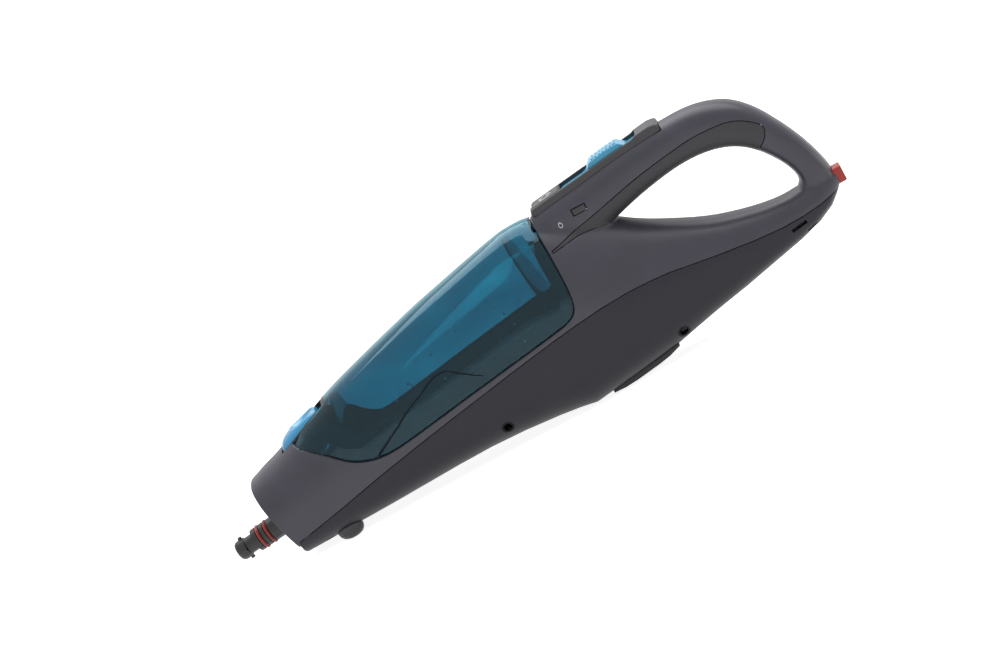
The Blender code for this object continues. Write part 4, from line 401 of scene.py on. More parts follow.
@dataclass(frozen=True)
class ClearFinish:
    """A clear tinted plastic with flow lines, a little haze and wiping marks."""

    name: str
    colour: Colour
    deep: Colour
    roughness: float = 0.035
    clearness: float = 1.0
    waves: float = 0.0000018
    index: float = 1.46
    mirror: float = 0.30
    glare: Colour = (0.60, 0.86, 0.96)
    flow: Triple = (0.028, 3.0, 0.6)
    flow_stretch: Triple = (0.35, 1.0, 1.0)
    flow_spread: Pair = (0.3, 0.72)
    flow_share: float = 0.7
    haze: Pair = (0.016, 4.0)
    haze_stretch: Triple = (1.0, 1.0, 3.0)
    haze_turn: Triple = (0.0, 24.0, 0.0)
    haze_spread: Pair = (0.45, 0.8)
    haze_rough: float = 0.02

    def build(self) -> bpy.types.Material:
        """Make the Blender material.

        Returns:
            The material.
        """
        material = bpy.data.materials.new("dressed_" + self.name)
        graph = blank(material)
        point = graph.place()
        flow = graph.noise(graph.stretched(point, self.flow_stretch), *self.flow)
        haze = graph.noise(graph.stretched(point, self.haze_stretch, self.haze_turn), *self.haze)
        graph.show("ShaderNodeBsdfPrincipled", {
            "Base Color": graph.blend(flow.span(*self.flow_spread), self.colour, self.deep),
            "Roughness": self.roughness + haze.span(*self.haze_spread) * self.haze_rough,
            "IOR": self.index, "Transmission Weight": self.clearness,
            "Specular IOR Level": self.mirror, "Specular Tint": (*self.glare, 1.0),
            "Normal": graph.bump(flow * self.flow_share + haze * (1.0 - self.flow_share), self.waves),
        })
        material.diffuse_color = (*self.colour, 0.5)
        return material


class Paint(Enum):
    """Every finish on the cleaner, by the record's slot or a piece's own name."""

    HOUSING_GREY = Finish("housing_grey", (0.0410, 0.0395, 0.0560), 0.38)
    LOWER_GREY = Finish("lower_grey", (0.0165, 0.0150, 0.0230), 0.44, fixed=(("Specular IOR Level", 0.32),))
    GRIP_RUBBER = Finish("grip_rubber", (0.0280, 0.0275, 0.0320), 0.56, grain=0.0003, depth=0.00003, wear=0.2)
    CONSOLE_GREY = Finish("console_grey", (0.0300, 0.0295, 0.0340), 0.42)
    TANK_TEAL = ClearFinish("tank_teal", (0.022, 0.255, 0.345), (0.015, 0.190, 0.275), 0.012)
    TANK_INNER = ClearFinish("tank_teal_inner", (0.012, 0.110, 0.170), (0.008, 0.070, 0.120), 0.10, 0.75)
    TANK_TRAY = Finish(
        "tank_tray", (0.0100, 0.0400, 0.0650), 0.34, grain=0.0006, depth=0.000006, mottle=0.3, wear=0.1,
        fixed=(("Specular IOR Level", 0.2),),
    )
    # Painted shade: the moulded ridge of the clear tank gets an opaque dark finish for the dark line that its shading
    # makes.
    RIDGE_DARK = Finish(
        "ridge_dark", (0.0020, 0.0100, 0.0170), 0.35, grain=0.0006, depth=0.000004, wear=0.1,
        fixed=(("Specular IOR Level", 0.12),),
    )
    LATCH_BLUE = Finish(
        "latch_blue", (0.012, 0.270, 0.520), 0.20, depth=0.000004, wear=0.5, mottle=0.12,
        fixed=(("Coat Weight", 0.6), ("Coat Roughness", 0.08)),
    )
    SLIDER_BLUE = Finish(
        "slider_blue", (0.040, 0.380, 0.620), 0.26, depth=0.000006, wear=0.4,
        fixed=(("Coat Weight", 0.3), ("Coat Roughness", 0.15)),
    )
    BUTTON_RED = Finish("button_red", (0.380, 0.022, 0.015), 0.34, depth=0.000008)
    SEAL_RED = Finish("seal_red", (0.290, 0.035, 0.024), 0.42, depth=0.000010)
    SEAL_BLACK = Finish("seal_black", (0.020, 0.020, 0.021), 0.60)
    NOZZLE_BLACK = Finish("nozzle_black", (0.0130, 0.0130, 0.0145), 0.36, grain=0.0006, depth=0.00003, mottle=0.2)
    INNER_PLASTIC = Finish("inner_plastic", (0.030, 0.034, 0.042), 0.45)
    ALUMINIUM = Finish("aluminium", (0.560, 0.570, 0.580), 0.42, 1.0, depth=0.00006, pattern=Pattern.CAST)
    STEEL = Finish("steel", (0.520, 0.520, 0.530), 0.28, 1.0, depth=0.00001, pattern=Pattern.BRUSHED)
    SCREW_DARK = Finish("screw_dark", (0.110, 0.110, 0.118), 0.42, 0.8, depth=0.00001, pattern=Pattern.TURNED)
    BRASS = Finish("brass", (0.600, 0.430, 0.170), 0.27, 1.0, depth=0.00001, pattern=Pattern.TURNED)
    COPPER_WINDING = Finish("copper_winding", (0.420, 0.150, 0.060), 0.30, 0.6, depth=0.00025, pattern=Pattern.WOUND)
    HOSE_SILICONE = Finish(
        "hose_silicone", (0.560, 0.550, 0.520), 0.42, fixed=(("Subsurface Weight", 0.3), ("Subsurface Scale", 0.004))
    )
    BOARD_GREEN = Finish("board_green", (0.025, 0.150, 0.055), 0.35, pattern=Pattern.TRACKS)
    SWITCH_BLACK = Finish("switch_black", (0.0150, 0.0150, 0.0160), 0.48)
    RECESS_SHADE = Finish("recess_shade", (0.0060, 0.0060, 0.0085), 0.60, fixed=(("Specular IOR Level", 0.15),))
    # The water drops get a light opaque colour instead of clear water: a painted glint.
    DROP_GLINT = Finish("drop_glint", (0.300, 0.470, 0.520), 0.12, depth=0.000002, wear=0.0)
    MARK_GREY = Finish("mark_grey", (0.640, 0.645, 0.660), 0.50, depth=0.000004, wear=0.0)

    def material(self) -> bpy.types.Material:
        """The Blender material, made once."""
        return bpy.data.materials.get("dressed_" + self.value.name) or self.value.build()


Finishes = tuple[tuple[Paint, str], ...]


def dress(piece: Piece, paint: Paint) -> None:
    """Give a piece one finish.

    Args:
        piece: The piece.
        paint: Its finish.
    """
    if not piece.data.materials:
        piece.data.materials.append(paint.material())
    for slot in piece.material_slots:
        slot.link = "OBJECT"
        slot.material = paint.material()


def dress_nodes(finishes: Finishes) -> None:
    """Give CAD nodes their finishes.

    Args:
        finishes: Pairs of a finish and the names of the nodes that have it.
    """
    for paint, names in finishes:
        for name in names.split():
            dress(frame["nodes"][name], paint)


def mount(piece: Piece, paint: Paint, body: str) -> None:
    """Dress an added piece and put it on its body.

    Args:
        piece: The piece.
        paint: Its finish.
        body: The body that carries it.
    """
    dress(piece, paint)
    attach(piece, body)
    log.info("%s: %d faces", piece.name, len(piece.data.polygons))


# Curves and surfaces

LINING_GRID, LINING_THICKNESS = (15, 9), 0.0008
WELD = 0.000002  # corners of facets that are this close are one
MAX_CUTS = 7  # how often long edges are cut in two
AGREED = 0.72  # how far a face looks the same way as the surface that it lies on
SLACK = 1.6  # how much farther than its faces a corner may be moved
CUT_CREASE, ADDED_CREASE, FLAT = 34.0, 40.0, 0.5  # angles in degrees
BEAD_START, BEAD_TAPER = 0.25, 4


def eased(start: Value, end: Value, pull: Value, push: Value, t: float) -> Value:
    """A place on the smooth curve between two others.

    Args:
        start: The first place.
        end: The second place.
        pull: The curve's slope at the first.
        push: The curve's slope at the second.
        t: How far along the curve, from 0 to 1.

    Returns:
        The place.
    """
    return (
        start * (2 * t**3 - 3 * t**2 + 1) + pull * (t**3 - 2 * t**2 + t)
        + end * (3 * t**2 - 2 * t**3) + push * (t**3 - t**2)
    )


def smooth_rows(rows: Sequence[Sequence[float]], steps: int) -> np.ndarray:
    """Rows with smooth ones between them.

    Args:
        rows: The given rows.
        steps: How many rows each span gives.

    Returns:
        The rows, each with as many numbers as a given one.
    """
    table = np.array(rows, float)
    last = len(table) - 1
    found = []
    for i in range(last):
        start, end = table[i], table[i + 1]
        pull = (end - table[max(i - 1, 0)]) / 2
        push = (table[min(i + 2, last)] - start) / 2
        found += [eased(start, end, pull, push, step / steps) for step in range(steps)]
    return np.array([*found, table[-1]])


def grid_faces(rows: int, columns: int, flip: bool, base: int = 0) -> Faces:
    """Faces between neighbouring rows of points.

    Args:
        rows: How many rows.
        columns: Points in a row.
        flip: Whether the faces look the other way.
        base: Number of the first point.

    Returns:
        The faces.
    """
    corners = [base + row * columns + column for row in range(rows - 1) for column in range(columns - 1)]
    quads = [(a, a + 1, a + columns + 1, a + columns) for a in corners]
    return [quad[::-1] for quad in quads] if flip else quads


def ring_faces(rings: int, count: int, closed: bool = False, base: int = 0) -> Faces:
    """Faces between neighbouring rings of points.

    Args:
        rings: How many rings.
        count: Points in a ring.
        closed: Whether the last ring meets the first.
        base: Number of the first point.

    Returns:
        The faces.
    """
    faces: Faces = []
    for ring in range(rings if closed else rings - 1):
        a, b = base + ring * count, base + (ring + 1) % rings * count
        faces += [(a + i, a + (i + 1) % count, b + (i + 1) % count, b + i) for i in range(count)]
    return faces


class Skin:
    """A fine smooth surface through rings of points."""

    def __init__(self, rings: np.ndarray) -> None:
        """Build the surface.

        Args:
            rings: Points as rings by count by 3.
        """
        rows, count, _ = rings.shape
        self.points = rings.reshape(-1, 3)
        along = np.gradient(rings, axis=0)
        around = (np.roll(rings, -1, axis=1) - np.roll(rings, 1, axis=1)) / 2
        normals = np.cross(along, around)
        normals /= np.maximum(np.linalg.norm(normals, axis=2, keepdims=True), 1e-12)
        middle = rings.mean(axis=1, keepdims=True)
        if float(np.sum(normals * (rings - middle))) < 0:
            normals = -normals
        self.normals = normals.reshape(-1, 3)
        place = np.arange(rows * count).reshape(rows, count)
        a, b = place[:-1], np.roll(place, -1, axis=1)[:-1]
        c, d = np.roll(place, -1, axis=1)[1:], place[1:]
        self.faces = np.concatenate([np.stack([a, b, c], -1).reshape(-1, 3), np.stack([a, c, d], -1).reshape(-1, 3)])
        self.tree = BVHTree.FromPolygons(self.points.tolist(), self.faces.tolist())

    def nearest(self, point: Vector) -> tuple[Vector, Vector, float]:
        """The nearest place on the surface.

        Args:
            point: Where to look from.

        Returns:
            The place, the smooth normal there, and the distance.
        """
        spot, _, face, distance = self.tree.find_nearest(point)
        corners = self.points[self.faces[face]]
        edge_b, edge_c, reach = corners[1] - corners[0], corners[2] - corners[0], np.array(spot) - corners[0]
        bb, bc, cc = edge_b @ edge_b, edge_b @ edge_c, edge_c @ edge_c
        rb, rc = reach @ edge_b, reach @ edge_c
        spread = max(bb * cc - bc * bc, 1e-18)
        v, w = (cc * rb - bc * rc) / spread, (bb * rc - bc * rb) / spread
        normal = Vector(np.array([1 - v - w, v, w]) @ self.normals[self.faces[face]]).normalized()
        return spot, normal, distance


def power_ring(angles: np.ndarray, power: float) -> tuple[np.ndarray, np.ndarray]:
    """Sideways and upward shares of a ring, which is an ellipse for a power of 2 and squarer for more."""
    side, rise = np.cos(angles), np.sin(angles)
    return np.sign(side) * np.abs(side) ** (2 / power), np.sign(rise) * np.abs(rise) ** (2 / power)


class Measure(IntEnum):
    """The columns of the hull's table after the place along it."""

    FLOOR = 1
    TOP = 2
    SIDE = 3
    BELT = 4
    UPPER_POWER = 5
    LOWER_POWER = 6


STRAIGHT = (Measure.FLOOR, Measure.UPPER_POWER, Measure.LOWER_POWER)


@dataclass
class Form:
    """The cleaner's outer form, from the same sections as the CAD model."""

    length: float = 0.480
    height: float = 0.148
    half_width: float = 0.038
    handle_power: float = 2.6
    hull: tuple[tuple[float, ...], ...] = (
        (-0.450, 0.022, 0.399, 0.789, 0.209, 2.3, 2.7), (-0.427, 0.022, 0.421, 0.816, 0.216, 2.3, 2.7),
        (-0.402, 0.021, 0.451, 0.842, 0.223, 2.3, 2.7), (-0.377, 0.023, 0.477, 0.858, 0.230, 2.3, 2.7),
        (-0.346, 0.027, 0.519, 0.884, 0.243, 2.3, 2.7), (-0.312, 0.031, 0.568, 0.908, 0.257, 2.3, 2.7),
        (-0.260, 0.035, 0.630, 0.937, 0.277, 2.3, 2.7), (-0.208, 0.041, 0.681, 0.958, 0.294, 2.3, 2.7),
        (-0.156, 0.047, 0.729, 0.976, 0.311, 2.3, 2.7), (-0.104, 0.049, 0.774, 0.989, 0.328, 2.3, 2.7),
        (-0.052, 0.042, 0.813, 1.000, 0.345, 2.3, 2.7), (0.000, 0.027, 0.851, 1.000, 0.358, 2.3, 2.7),
        (0.031, 0.014, 0.872, 1.000, 0.365, 2.3, 2.7), (0.054, 0.000, 0.884, 0.995, 0.368, 2.2, 2.7),
        (0.090, 0.016, 0.880, 0.987, 0.368, 2.1, 2.7), (0.125, 0.031, 0.833, 0.958, 0.361, 1.9, 2.7),
        (0.156, 0.045, 0.789, 0.918, 0.351, 1.8, 2.7), (0.194, 0.062, 0.705, 0.842, 0.338, 1.8, 2.6),
        (0.223, 0.082, 0.638, 0.771, 0.328, 1.9, 2.5), (0.260, 0.107, 0.569, 0.684, 0.314, 2.1, 2.4),
        (0.312, 0.139, 0.489, 0.600, 0.301, 2.3, 2.3), (0.365, 0.178, 0.438, 0.526, 0.296, 2.4, 2.3),
        (0.406, 0.208, 0.417, 0.474, 0.304, 2.5, 2.3), (0.438, 0.239, 0.420, 0.447, 0.321, 2.5, 2.3),
        (0.463, 0.279, 0.420, 0.408, 0.345, 2.4, 2.3), (0.476, 0.314, 0.419, 0.342, 0.368, 2.3, 2.2),
        (0.486, 0.348, 0.412, 0.237, 0.378, 2.2, 2.2),
    )
    handle: tuple[tuple[float, ...], ...] = (
        (0.101, 0.907, 0.075, 0.635, 0.408), (0.129, 0.918, 0.125, 0.642, 0.421), (0.167, 0.932, 0.175, 0.662, 0.426),
        (0.204, 0.946, 0.200, 0.694, 0.426), (0.242, 0.960, 0.236, 0.726, 0.421), (0.279, 0.969, 0.274, 0.751, 0.416),
        (0.314, 0.975, 0.310, 0.765, 0.411), (0.350, 0.974, 0.343, 0.762, 0.405), (0.382, 0.953, 0.372, 0.740, 0.400),
        (0.410, 0.908, 0.396, 0.698, 0.395), (0.434, 0.828, 0.4145, 0.638, 0.389), (0.454, 0.722, 0.429, 0.570, 0.379),
        (0.469, 0.622, 0.4375, 0.512, 0.368), (0.480, 0.522, 0.4405, 0.465, 0.363), (0.486, 0.432, 0.437, 0.431, 0.353),
        (0.484, 0.350, 0.425, 0.385, 0.316),
    )
    tank_edge: Line = (
        (-0.375, 0.620), (-0.340, 0.489), (-0.332, 0.470), (-0.306, 0.413), (-0.282, 0.346), (-0.266, 0.316),
        (-0.250, 0.299), (-0.236, 0.292), (-0.220, 0.291), (-0.200, 0.296), (-0.146, 0.321), (-0.107, 0.341),
        (-0.060, 0.363), (-0.020, 0.382), (0.017, 0.399), (0.063, 0.421), (0.079, 0.434), (0.090, 0.456),
        (0.096, 0.494), (0.099, 0.560), (0.0995, 0.640), (0.0990, 0.719), (0.0975, 0.790), (0.0945, 0.868),
        (0.0880, 0.986),
    )

    def measure(self, column: Measure, x: float) -> float:
        """A hull measure at x, in shares.

        Args:
            column: Which measure.
            x: Place along the cleaner.

        Returns:
            The measure.
        """
        share, rows = x / self.length, self.hull
        last = len(rows) - 1
        i = max(k for k in range(last) if k == 0 or rows[k][0] <= share)
        start, end = rows[i], rows[i + 1]
        span = end[0] - start[0]
        t = min(max((share - start[0]) / span, 0), 1)
        if column in STRAIGHT:
            return start[column] + (end[column] - start[column]) * t
        before, after = rows[max(i - 1, 0)], rows[min(i + 2, last)]
        pull = (end[column] - before[column]) / (end[0] - before[0]) * span
        push = (after[column] - start[column]) / (after[0] - start[0]) * span
        return eased(start[column], end[column], pull, push, t)

    def hull_skin(self, inset: float = 0.0, stations: int = 230, count: int = 144) -> Skin:
        """The hull's surface, drawn in by the inset.

        Args:
            inset: How far in.
            stations: Rings along it.
            count: Points in a ring.

        Returns:
            The surface.
        """
        places = set(np.linspace(self.hull[0][0], self.hull[-1][0], stations)) | {row[0] for row in self.hull}
        angles = math.tau * (np.arange(count) + 0.5) / count
        rings = []
        for share in sorted(places):
            x = share * self.length
            floor, top, half, belt, upper, lower = (self.measure(column, x) for column in Measure)
            low, high = floor * self.height + inset, top * self.height - inset
            half, belt = half * self.half_width - inset, belt * self.height
            upper_side, upper_rise = power_ring(angles, upper)
            lower_side, lower_rise = power_ring(angles, lower)
            up = np.sin(angles) > 0
            y = np.where(up, upper_side, lower_side) * half
            z = belt + np.where(up, upper_rise * (high - belt), lower_rise * (belt - low))
            rings.append(np.stack([np.full(count, x), y, z], -1))
        return Skin(np.array(rings))

    def handle_skin(self, count: int = 80, steps: int = 8) -> Skin:
        """The handle's surface.

        Args:
            count: Points in a ring.
            steps: Rings for each given section.

        Returns:
            The surface.
        """
        angles = math.tau * (np.arange(count) + 0.5) / count
        side, rise = power_ring(angles, self.handle_power)
        rings = []
        for outer_x, outer_z, inner_x, inner_z, half in smooth_rows(self.handle, steps):
            outer = np.array([outer_x * self.length, 0.0, outer_z * self.height])
            inner = np.array([inner_x * self.length, 0.0, inner_z * self.height])
            middle, reach = (outer + inner) / 2, (outer - inner) / 2
            rings.append(middle + rise[:, None] * reach + side[:, None] * np.array([0.0, half * self.half_width, 0.0]))
        return Skin(np.array(rings))

    def tank_line(self) -> np.ndarray:
        """The tank's edge in side view, as x and z in metres."""
        return smooth_rows(self.tank_edge, 2) * np.array([self.length, self.height])

    def strip(
        self, name: str, line: np.ndarray, inward: np.ndarray, skins: tuple[Skin, Skin], near: float,
        reach: Callable[[float], float], side: float, steps: int = 5,
    ) -> Piece:
        """A thin strip that follows a side-view line on one side of the cleaner.

        Args:
            name: The piece's name.
            line: The line, as x and z.
            inward: The way across the strip at each point.
            skins: Its outer and its inner surface.
            near: Where it starts across the line.
            reach: Where it ends across the line, by x.
            side: Minus one for the left side, one for the right.
            steps: Faces across it.

        Returns:
            The piece.
        """
        points: list[Vector] = []
        faces: Faces = []
        count, rows = steps + 1, len(line)
        half = rows * count
        for layer, skin in enumerate(skins):
            faces += grid_faces(rows, count, (layer == 0) != (side > 0), layer * half)
            for (x, z), away in zip(line, inward):
                for step in range(count):
                    depth = near + (reach(x) - near) * step / steps
                    points.append(self.side_point(x + away[0] * depth, z + away[1] * depth, side, skin)[0])
        border = [i * count for i in range(rows)] + [(rows - 1) * count + j for j in range(1, count)]
        border += [i * count + steps for i in range(rows - 2, -1, -1)] + [j for j in range(steps - 1, 0, -1)]
        for a, b in zip(border, border[1:] + border[:1]):
            faces.append((a, b, b + half, a + half) if side < 0 else (b, a, a + half, b + half))
        return mesh_piece(name, points, faces)

    def lining(self, name: str, box: Line, inset: float, side: float, bar: float = 0.0) -> Piece:
        """A thin patch behind the shell's wall.

        Args:
            name: The piece's name.
            box: Its lowest x and z, and its highest.
            inset: How deep it lies under the outer surface.
            side: Minus one for the left side, one for the right.
            bar: How proud every second column stands.

        Returns:
            The piece.
        """
        inside = self.hull_skin(inset)
        columns, rows = LINING_GRID
        (left, low), (right, high) = box
        points: list[Vector] = []
        for j in range(rows):
            for i in range(columns):
                x, z = left + (right - left) * i / (columns - 1), low + (high - low) * j / (rows - 1)
                spot, normal = self.side_point(x, z, side, inside)
                points.append(spot + normal * (bar if i % 2 else 0.0))
        patch = mesh_piece(name, points, grid_faces(rows, columns, side > 0), smooth=False)
        patch.modifiers.new("thickness", "SOLIDIFY").thickness = LINING_THICKNESS
        return patch

    def side_point(self, x: float, z: float, side: float, skin: Skin) -> tuple[Vector, Vector]:
        """The hull's surface where it has this x and z.

        Args:
            x: Place along the cleaner.
            z: Height.
            side: Minus one for the left side, one for the right.
            skin: The surface.

        Returns:
            The point and the normal there.
        """
        spot, _, _, _ = skin.tree.ray_cast(Vector((x, side * OUTSIDE, z)), Vector((0, -side, 0)))
        spot = spot or Vector((x, side * self.half_width, z))
        found, normal, _ = skin.nearest(spot)
        return found, normal


@dataclass
class Layer:
    """One surface that some faces of a CAD node lie on."""

    skin: Skin
    outward: bool = True
    reach: float = 0.0012
    shift: Callable[[Vector, Vector], tuple[float, Vector]] | None = None


@dataclass
class Refiner:
    """Makes a fine copy of a CAD node whose curved faces follow the true surface."""

    layers: list[Layer]
    spacing: float = 0.0032
    crease: float = 38.0
    blend: float = 0.0

    def layer_of(self, face: bmesh.types.BMFace) -> int:
        """Which layer a face lies on, from 1, or 0 for none.

        Args:
            face: The face.

        Returns:
            The layer's number.
        """
        middle = face.calc_center_median()
        best, found = 1.0, 0
        for number, layer in enumerate(self.layers, 1):
            _, normal, distance = layer.skin.nearest(middle)
            agreed = face.normal.dot(normal) * (1 if layer.outward else -1)
            if distance < layer.reach and agreed > AGREED and distance < best:
                best, found = distance, number
        return found

    def copy(self, node: str, name: str) -> Piece:
        """Build the fine copy and put it in the node's place.

        Args:
            node: The CAD node.
            name: The new piece's name.

        Returns:
            The piece.
        """
        shape = welded(node)
        bmesh.ops.triangulate(shape, faces=shape.faces)
        shape.normal_update()
        tag = shape.faces.layers.int.new("layer")
        for face in shape.faces:
            face[tag] = self.layer_of(face)
        for _ in range(MAX_CUTS):
            long = [
                edge for edge in shape.edges
                if edge.calc_length() > self.spacing and any(face[tag] for face in edge.link_faces)
            ]
            if not long:
                break
            bmesh.ops.subdivide_edges(shape, edges=long, cuts=1)
            bmesh.ops.triangulate(shape, faces=[face for face in shape.faces if len(face.verts) > 3])
        bends = self.settle(shape, tag)
        shape.faces.index_update()
        curved = {face.index for face in shape.faces if face[tag]}
        return self.finished(shaded(shape, name, self.crease), curved, bends, node)

    def settle(self, shape: bmesh.types.BMesh, tag: object) -> dict[int, Vector]:
        """Move the vertices of the curved faces onto their surfaces.

        Args:
            shape: The mesh.
            tag: The face layer that holds the numbers.

        Returns:
            The smooth normal of each moved vertex, by its number.
        """
        bends: dict[int, Vector] = {}
        shape.verts.index_update()
        for vert in shape.verts:
            numbers = {face[tag] for face in vert.link_faces} - {0}
            if not numbers:
                continue
            found = [(self.layers[number - 1].skin.nearest(vert.co), self.layers[number - 1]) for number in numbers]
            (spot, normal, distance), layer = min(found, key=lambda item: item[0][2])
            if distance > layer.reach * SLACK:
                continue
            bend = normal.copy()
            for other in self.layers if self.blend else ():
                _, second, gap = other.skin.nearest(vert.co)
                if other is not layer and gap < self.blend:
                    share = 0.5 * (1.0 - gap / self.blend) ** 2
                    bend = (normal * (1.0 - share) + second * share).normalized()
            if layer.shift:
                depth, tilt = layer.shift(spot, normal)
                spot = spot - normal * depth
                bend = (normal + tilt).normalized()
            vert.co = spot
            bends[vert.index] = bend if layer.outward else -bend
        return bends

    def finished(self, mesh: bpy.types.Mesh, curved: set[int], bends: dict[int, Vector], node: str) -> Piece:
        """Make a piece of the mesh, with smooth normals on its curved faces.

        Args:
            mesh: The mesh.
            curved: The numbers of the curved faces.
            bends: Smooth normals by vertex.
            node: The CAD node that it stands for.

        Returns:
            The piece.
        """
        normals = [(0.0, 0.0, 0.0)] * len(mesh.loops)
        for face in mesh.polygons:
            for loop in face.loop_indices if face.index in curved else ():
                bend = bends.get(mesh.loops[loop].vertex_index)
                if bend is not None:
                    normals[loop] = tuple(bend)
        mesh.normals_split_custom_set(normals)
        piece = added(mesh.name, mesh)
        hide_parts(node)
        return piece


def welded(node: str) -> bmesh.types.BMesh:
    """Open a CAD node's mesh with its facets joined.

    Args:
        node: The CAD node.

    Returns:
        The mesh, ready to be changed.
    """
    shape = bmesh.new()
    shape.from_mesh(frame["nodes"][node].data)
    bmesh.ops.remove_doubles(shape, verts=shape.verts, dist=WELD)
    return shape


def shaded(shape: bmesh.types.BMesh, name: str, crease: float) -> bpy.types.Mesh:
    """Close a mesh and shade it smooth up to its creases.

    Args:
        shape: The changed mesh.
        name: Its name.
        crease: The angle in degrees from which an edge stays sharp.

    Returns:
        The mesh.
    """
    mesh = bpy.data.meshes.new(name)
    shape.to_mesh(mesh)
    shape.free()
    mesh.shade_smooth()
    mesh.set_sharp_from_angle(angle=math.radians(crease))
    return mesh


def added(name: str, data: bpy.types.ID) -> Piece:
    """Put a mesh, a lamp or a camera into the scene.

    Args:
        name: The object's name.
        data: What it shows.

    Returns:
        The object.
    """
    made = bpy.data.objects.new(name, data)
    bpy.context.scene.collection.objects.link(made)
    return made


def rounded_copy(node: str, name: str, width: float, move: Callable[[Vector], Vector] | None = None) -> Piece:
    """A copy of a CAD node with rounded edges, in the node's place.

    Args:
        node: The CAD node.
        name: The new piece's name.
        width: How wide the rounding is.
        move: Where each point goes, or none.

    Returns:
        The piece.
    """
    shape = welded(node)
    bmesh.ops.dissolve_limit(shape, angle_limit=math.radians(FLAT), verts=shape.verts, edges=shape.edges)
    for vert in shape.verts if move else ():
        vert.co = move(vert.co)
    piece = added(name, shaded(shape, name, CUT_CREASE))
    rounding = piece.modifiers.new("rounding", "BEVEL")
    rounding.width = width
    rounding.segments = 3
    rounding.limit_method = "ANGLE"
    rounding.angle_limit = math.radians(CUT_CREASE)
    rounding.harden_normals = True
    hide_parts(node)
    return piece


def mesh_piece(
    name: str, points: Sequence[Sequence[float]], faces: Sequence[Sequence[int]], smooth: bool = True
) -> Piece:
    """A piece from points and faces.

    Args:
        name: Its name.
        points: Its vertices.
        faces: Its faces.
        smooth: Whether it is shaded smooth.

    Returns:
        The piece.
    """
    mesh = bpy.data.meshes.new(name)
    mesh.from_pydata([tuple(point) for point in points], [], [tuple(face) for face in faces])
    mesh.update()
    if smooth:
        mesh.shade_smooth()
        mesh.set_sharp_from_angle(angle=math.radians(ADDED_CREASE))
    return added(name, mesh)


def bead(
    name: str, line: Sequence[Vector], normals: Sequence[Vector], width: float, rise: float, sunk: float,
    count: int = 10,
) -> Piece:
    """A moulded bead along a line on a surface, tapered at its ends.

    Args:
        name: The piece's name.
        line: Points on the surface.
        normals: The surface's normals there.
        width: Half its width.
        rise: How proud it stands.
        sunk: How deep it goes into what carries it.
        count: Points round it.

    Returns:
        The piece.
    """
    points: list[Vector] = []
    last = len(line) - 1
    for i, (spot, up) in enumerate(zip(line, normals)):
        run = (line[min(i + 1, last)] - line[max(i - 1, 0)]).normalized()
        across = run.cross(up).normalized()
        full = min(1.0, BEAD_START + min(i, last - i) / BEAD_TAPER)
        for step in range(count):
            angle = math.tau * step / count
            lift = math.sin(angle)
            aside = across * (width * full * math.cos(angle))
            points.append(spot + aside + up * (lift * (rise if lift > 0 else sunk) * full))
    faces = ring_faces(len(line), count)
    faces.append(tuple(reversed(range(count))))
    faces.append(tuple(range(last * count, last * count + count)))
    return mesh_piece(name, points, faces)


def surface_of(node: str) -> BVHTree:
    """A CAD node's surface, on which points can be found."""
    mesh = frame["nodes"][node].data
    return BVHTree.FromPolygons([vert.co for vert in mesh.vertices], [face.vertices for face in mesh.polygons])


# Camera and studio


@dataclass
class View:
    """The camera, fitted to the photograph's outline."""

    azimuth: float = 7.5
    elevation: float = 13.7
    roll: float = 28.36
    scale: float = 1501.0
    distance: float = 1.995
    origin: Pair = (564.4, 415.3)
    frame: tuple[int, int] = (1000, 667)
    sensor: float = 36.0

    def basis(self) -> tuple[Vector, Vector, Vector]:
        """Find the picture's own directions.

        Returns:
            Right, up and backward.
        """
        azimuth, elevation = math.radians(self.azimuth), math.radians(self.elevation)
        level = math.cos(elevation)
        back = Vector((level * math.sin(azimuth), -level * math.cos(azimuth), math.sin(elevation)))
        right = Vector((math.cos(azimuth), math.sin(azimuth), 0.0))
        up = back.cross(right)
        turn = math.radians(self.roll) - math.atan2(up.x, right.x)
        return right * math.cos(turn) - up * math.sin(turn), right * math.sin(turn) + up * math.cos(turn), back

    def target(self) -> Vector:
        """Find the point at the middle of the picture.

        Returns:
            The point.
        """
        right, up, _ = self.basis()
        across, down = self.origin[0] - self.frame[0] / 2, self.frame[1] / 2 - self.origin[1]
        return -right * (across / self.scale) - up * (down / self.scale)

    def build(self) -> None:
        """Create the camera and make it the scene's."""
        right, up, back = self.basis()
        data = bpy.data.cameras.new("photograph")
        data.sensor_width = self.sensor
        data.sensor_fit = "HORIZONTAL"
        data.lens = self.sensor * self.scale * self.distance / self.frame[0]
        data.clip_end = 200.0
        camera = added("photograph", data)
        turn = Matrix((right, up, back)).transposed().to_4x4()
        camera.matrix_world = Matrix.Translation(self.target() + back * self.distance) @ turn
        bpy.context.scene.camera = camera


@dataclass(frozen=True)
class Lamp:
    """A soft lamp that points at the cleaner, placed by the picture's own directions."""

    name: str
    right: float
    up: float
    back: float
    size: Pair
    power: float
    mirrored: bool = True

    def build(self, view: View, target: Vector) -> None:
        """Add the lamp.

        Args:
            view: The camera, for the picture's directions.
            target: The point that it is aimed at.
        """
        right, up, back = view.basis()
        place = up * self.up + back * self.back + right * self.right
        data = bpy.data.lights.new(self.name, "AREA")
        data.shape = "RECTANGLE"
        data.size, data.size_y = self.size
        data.energy = self.power
        lamp = added(self.name, data)
        lamp.visible_glossy = self.mirrored
        lamp.location = target + place
        lamp.rotation_euler = place.to_track_quat("Z", "Y").to_euler()


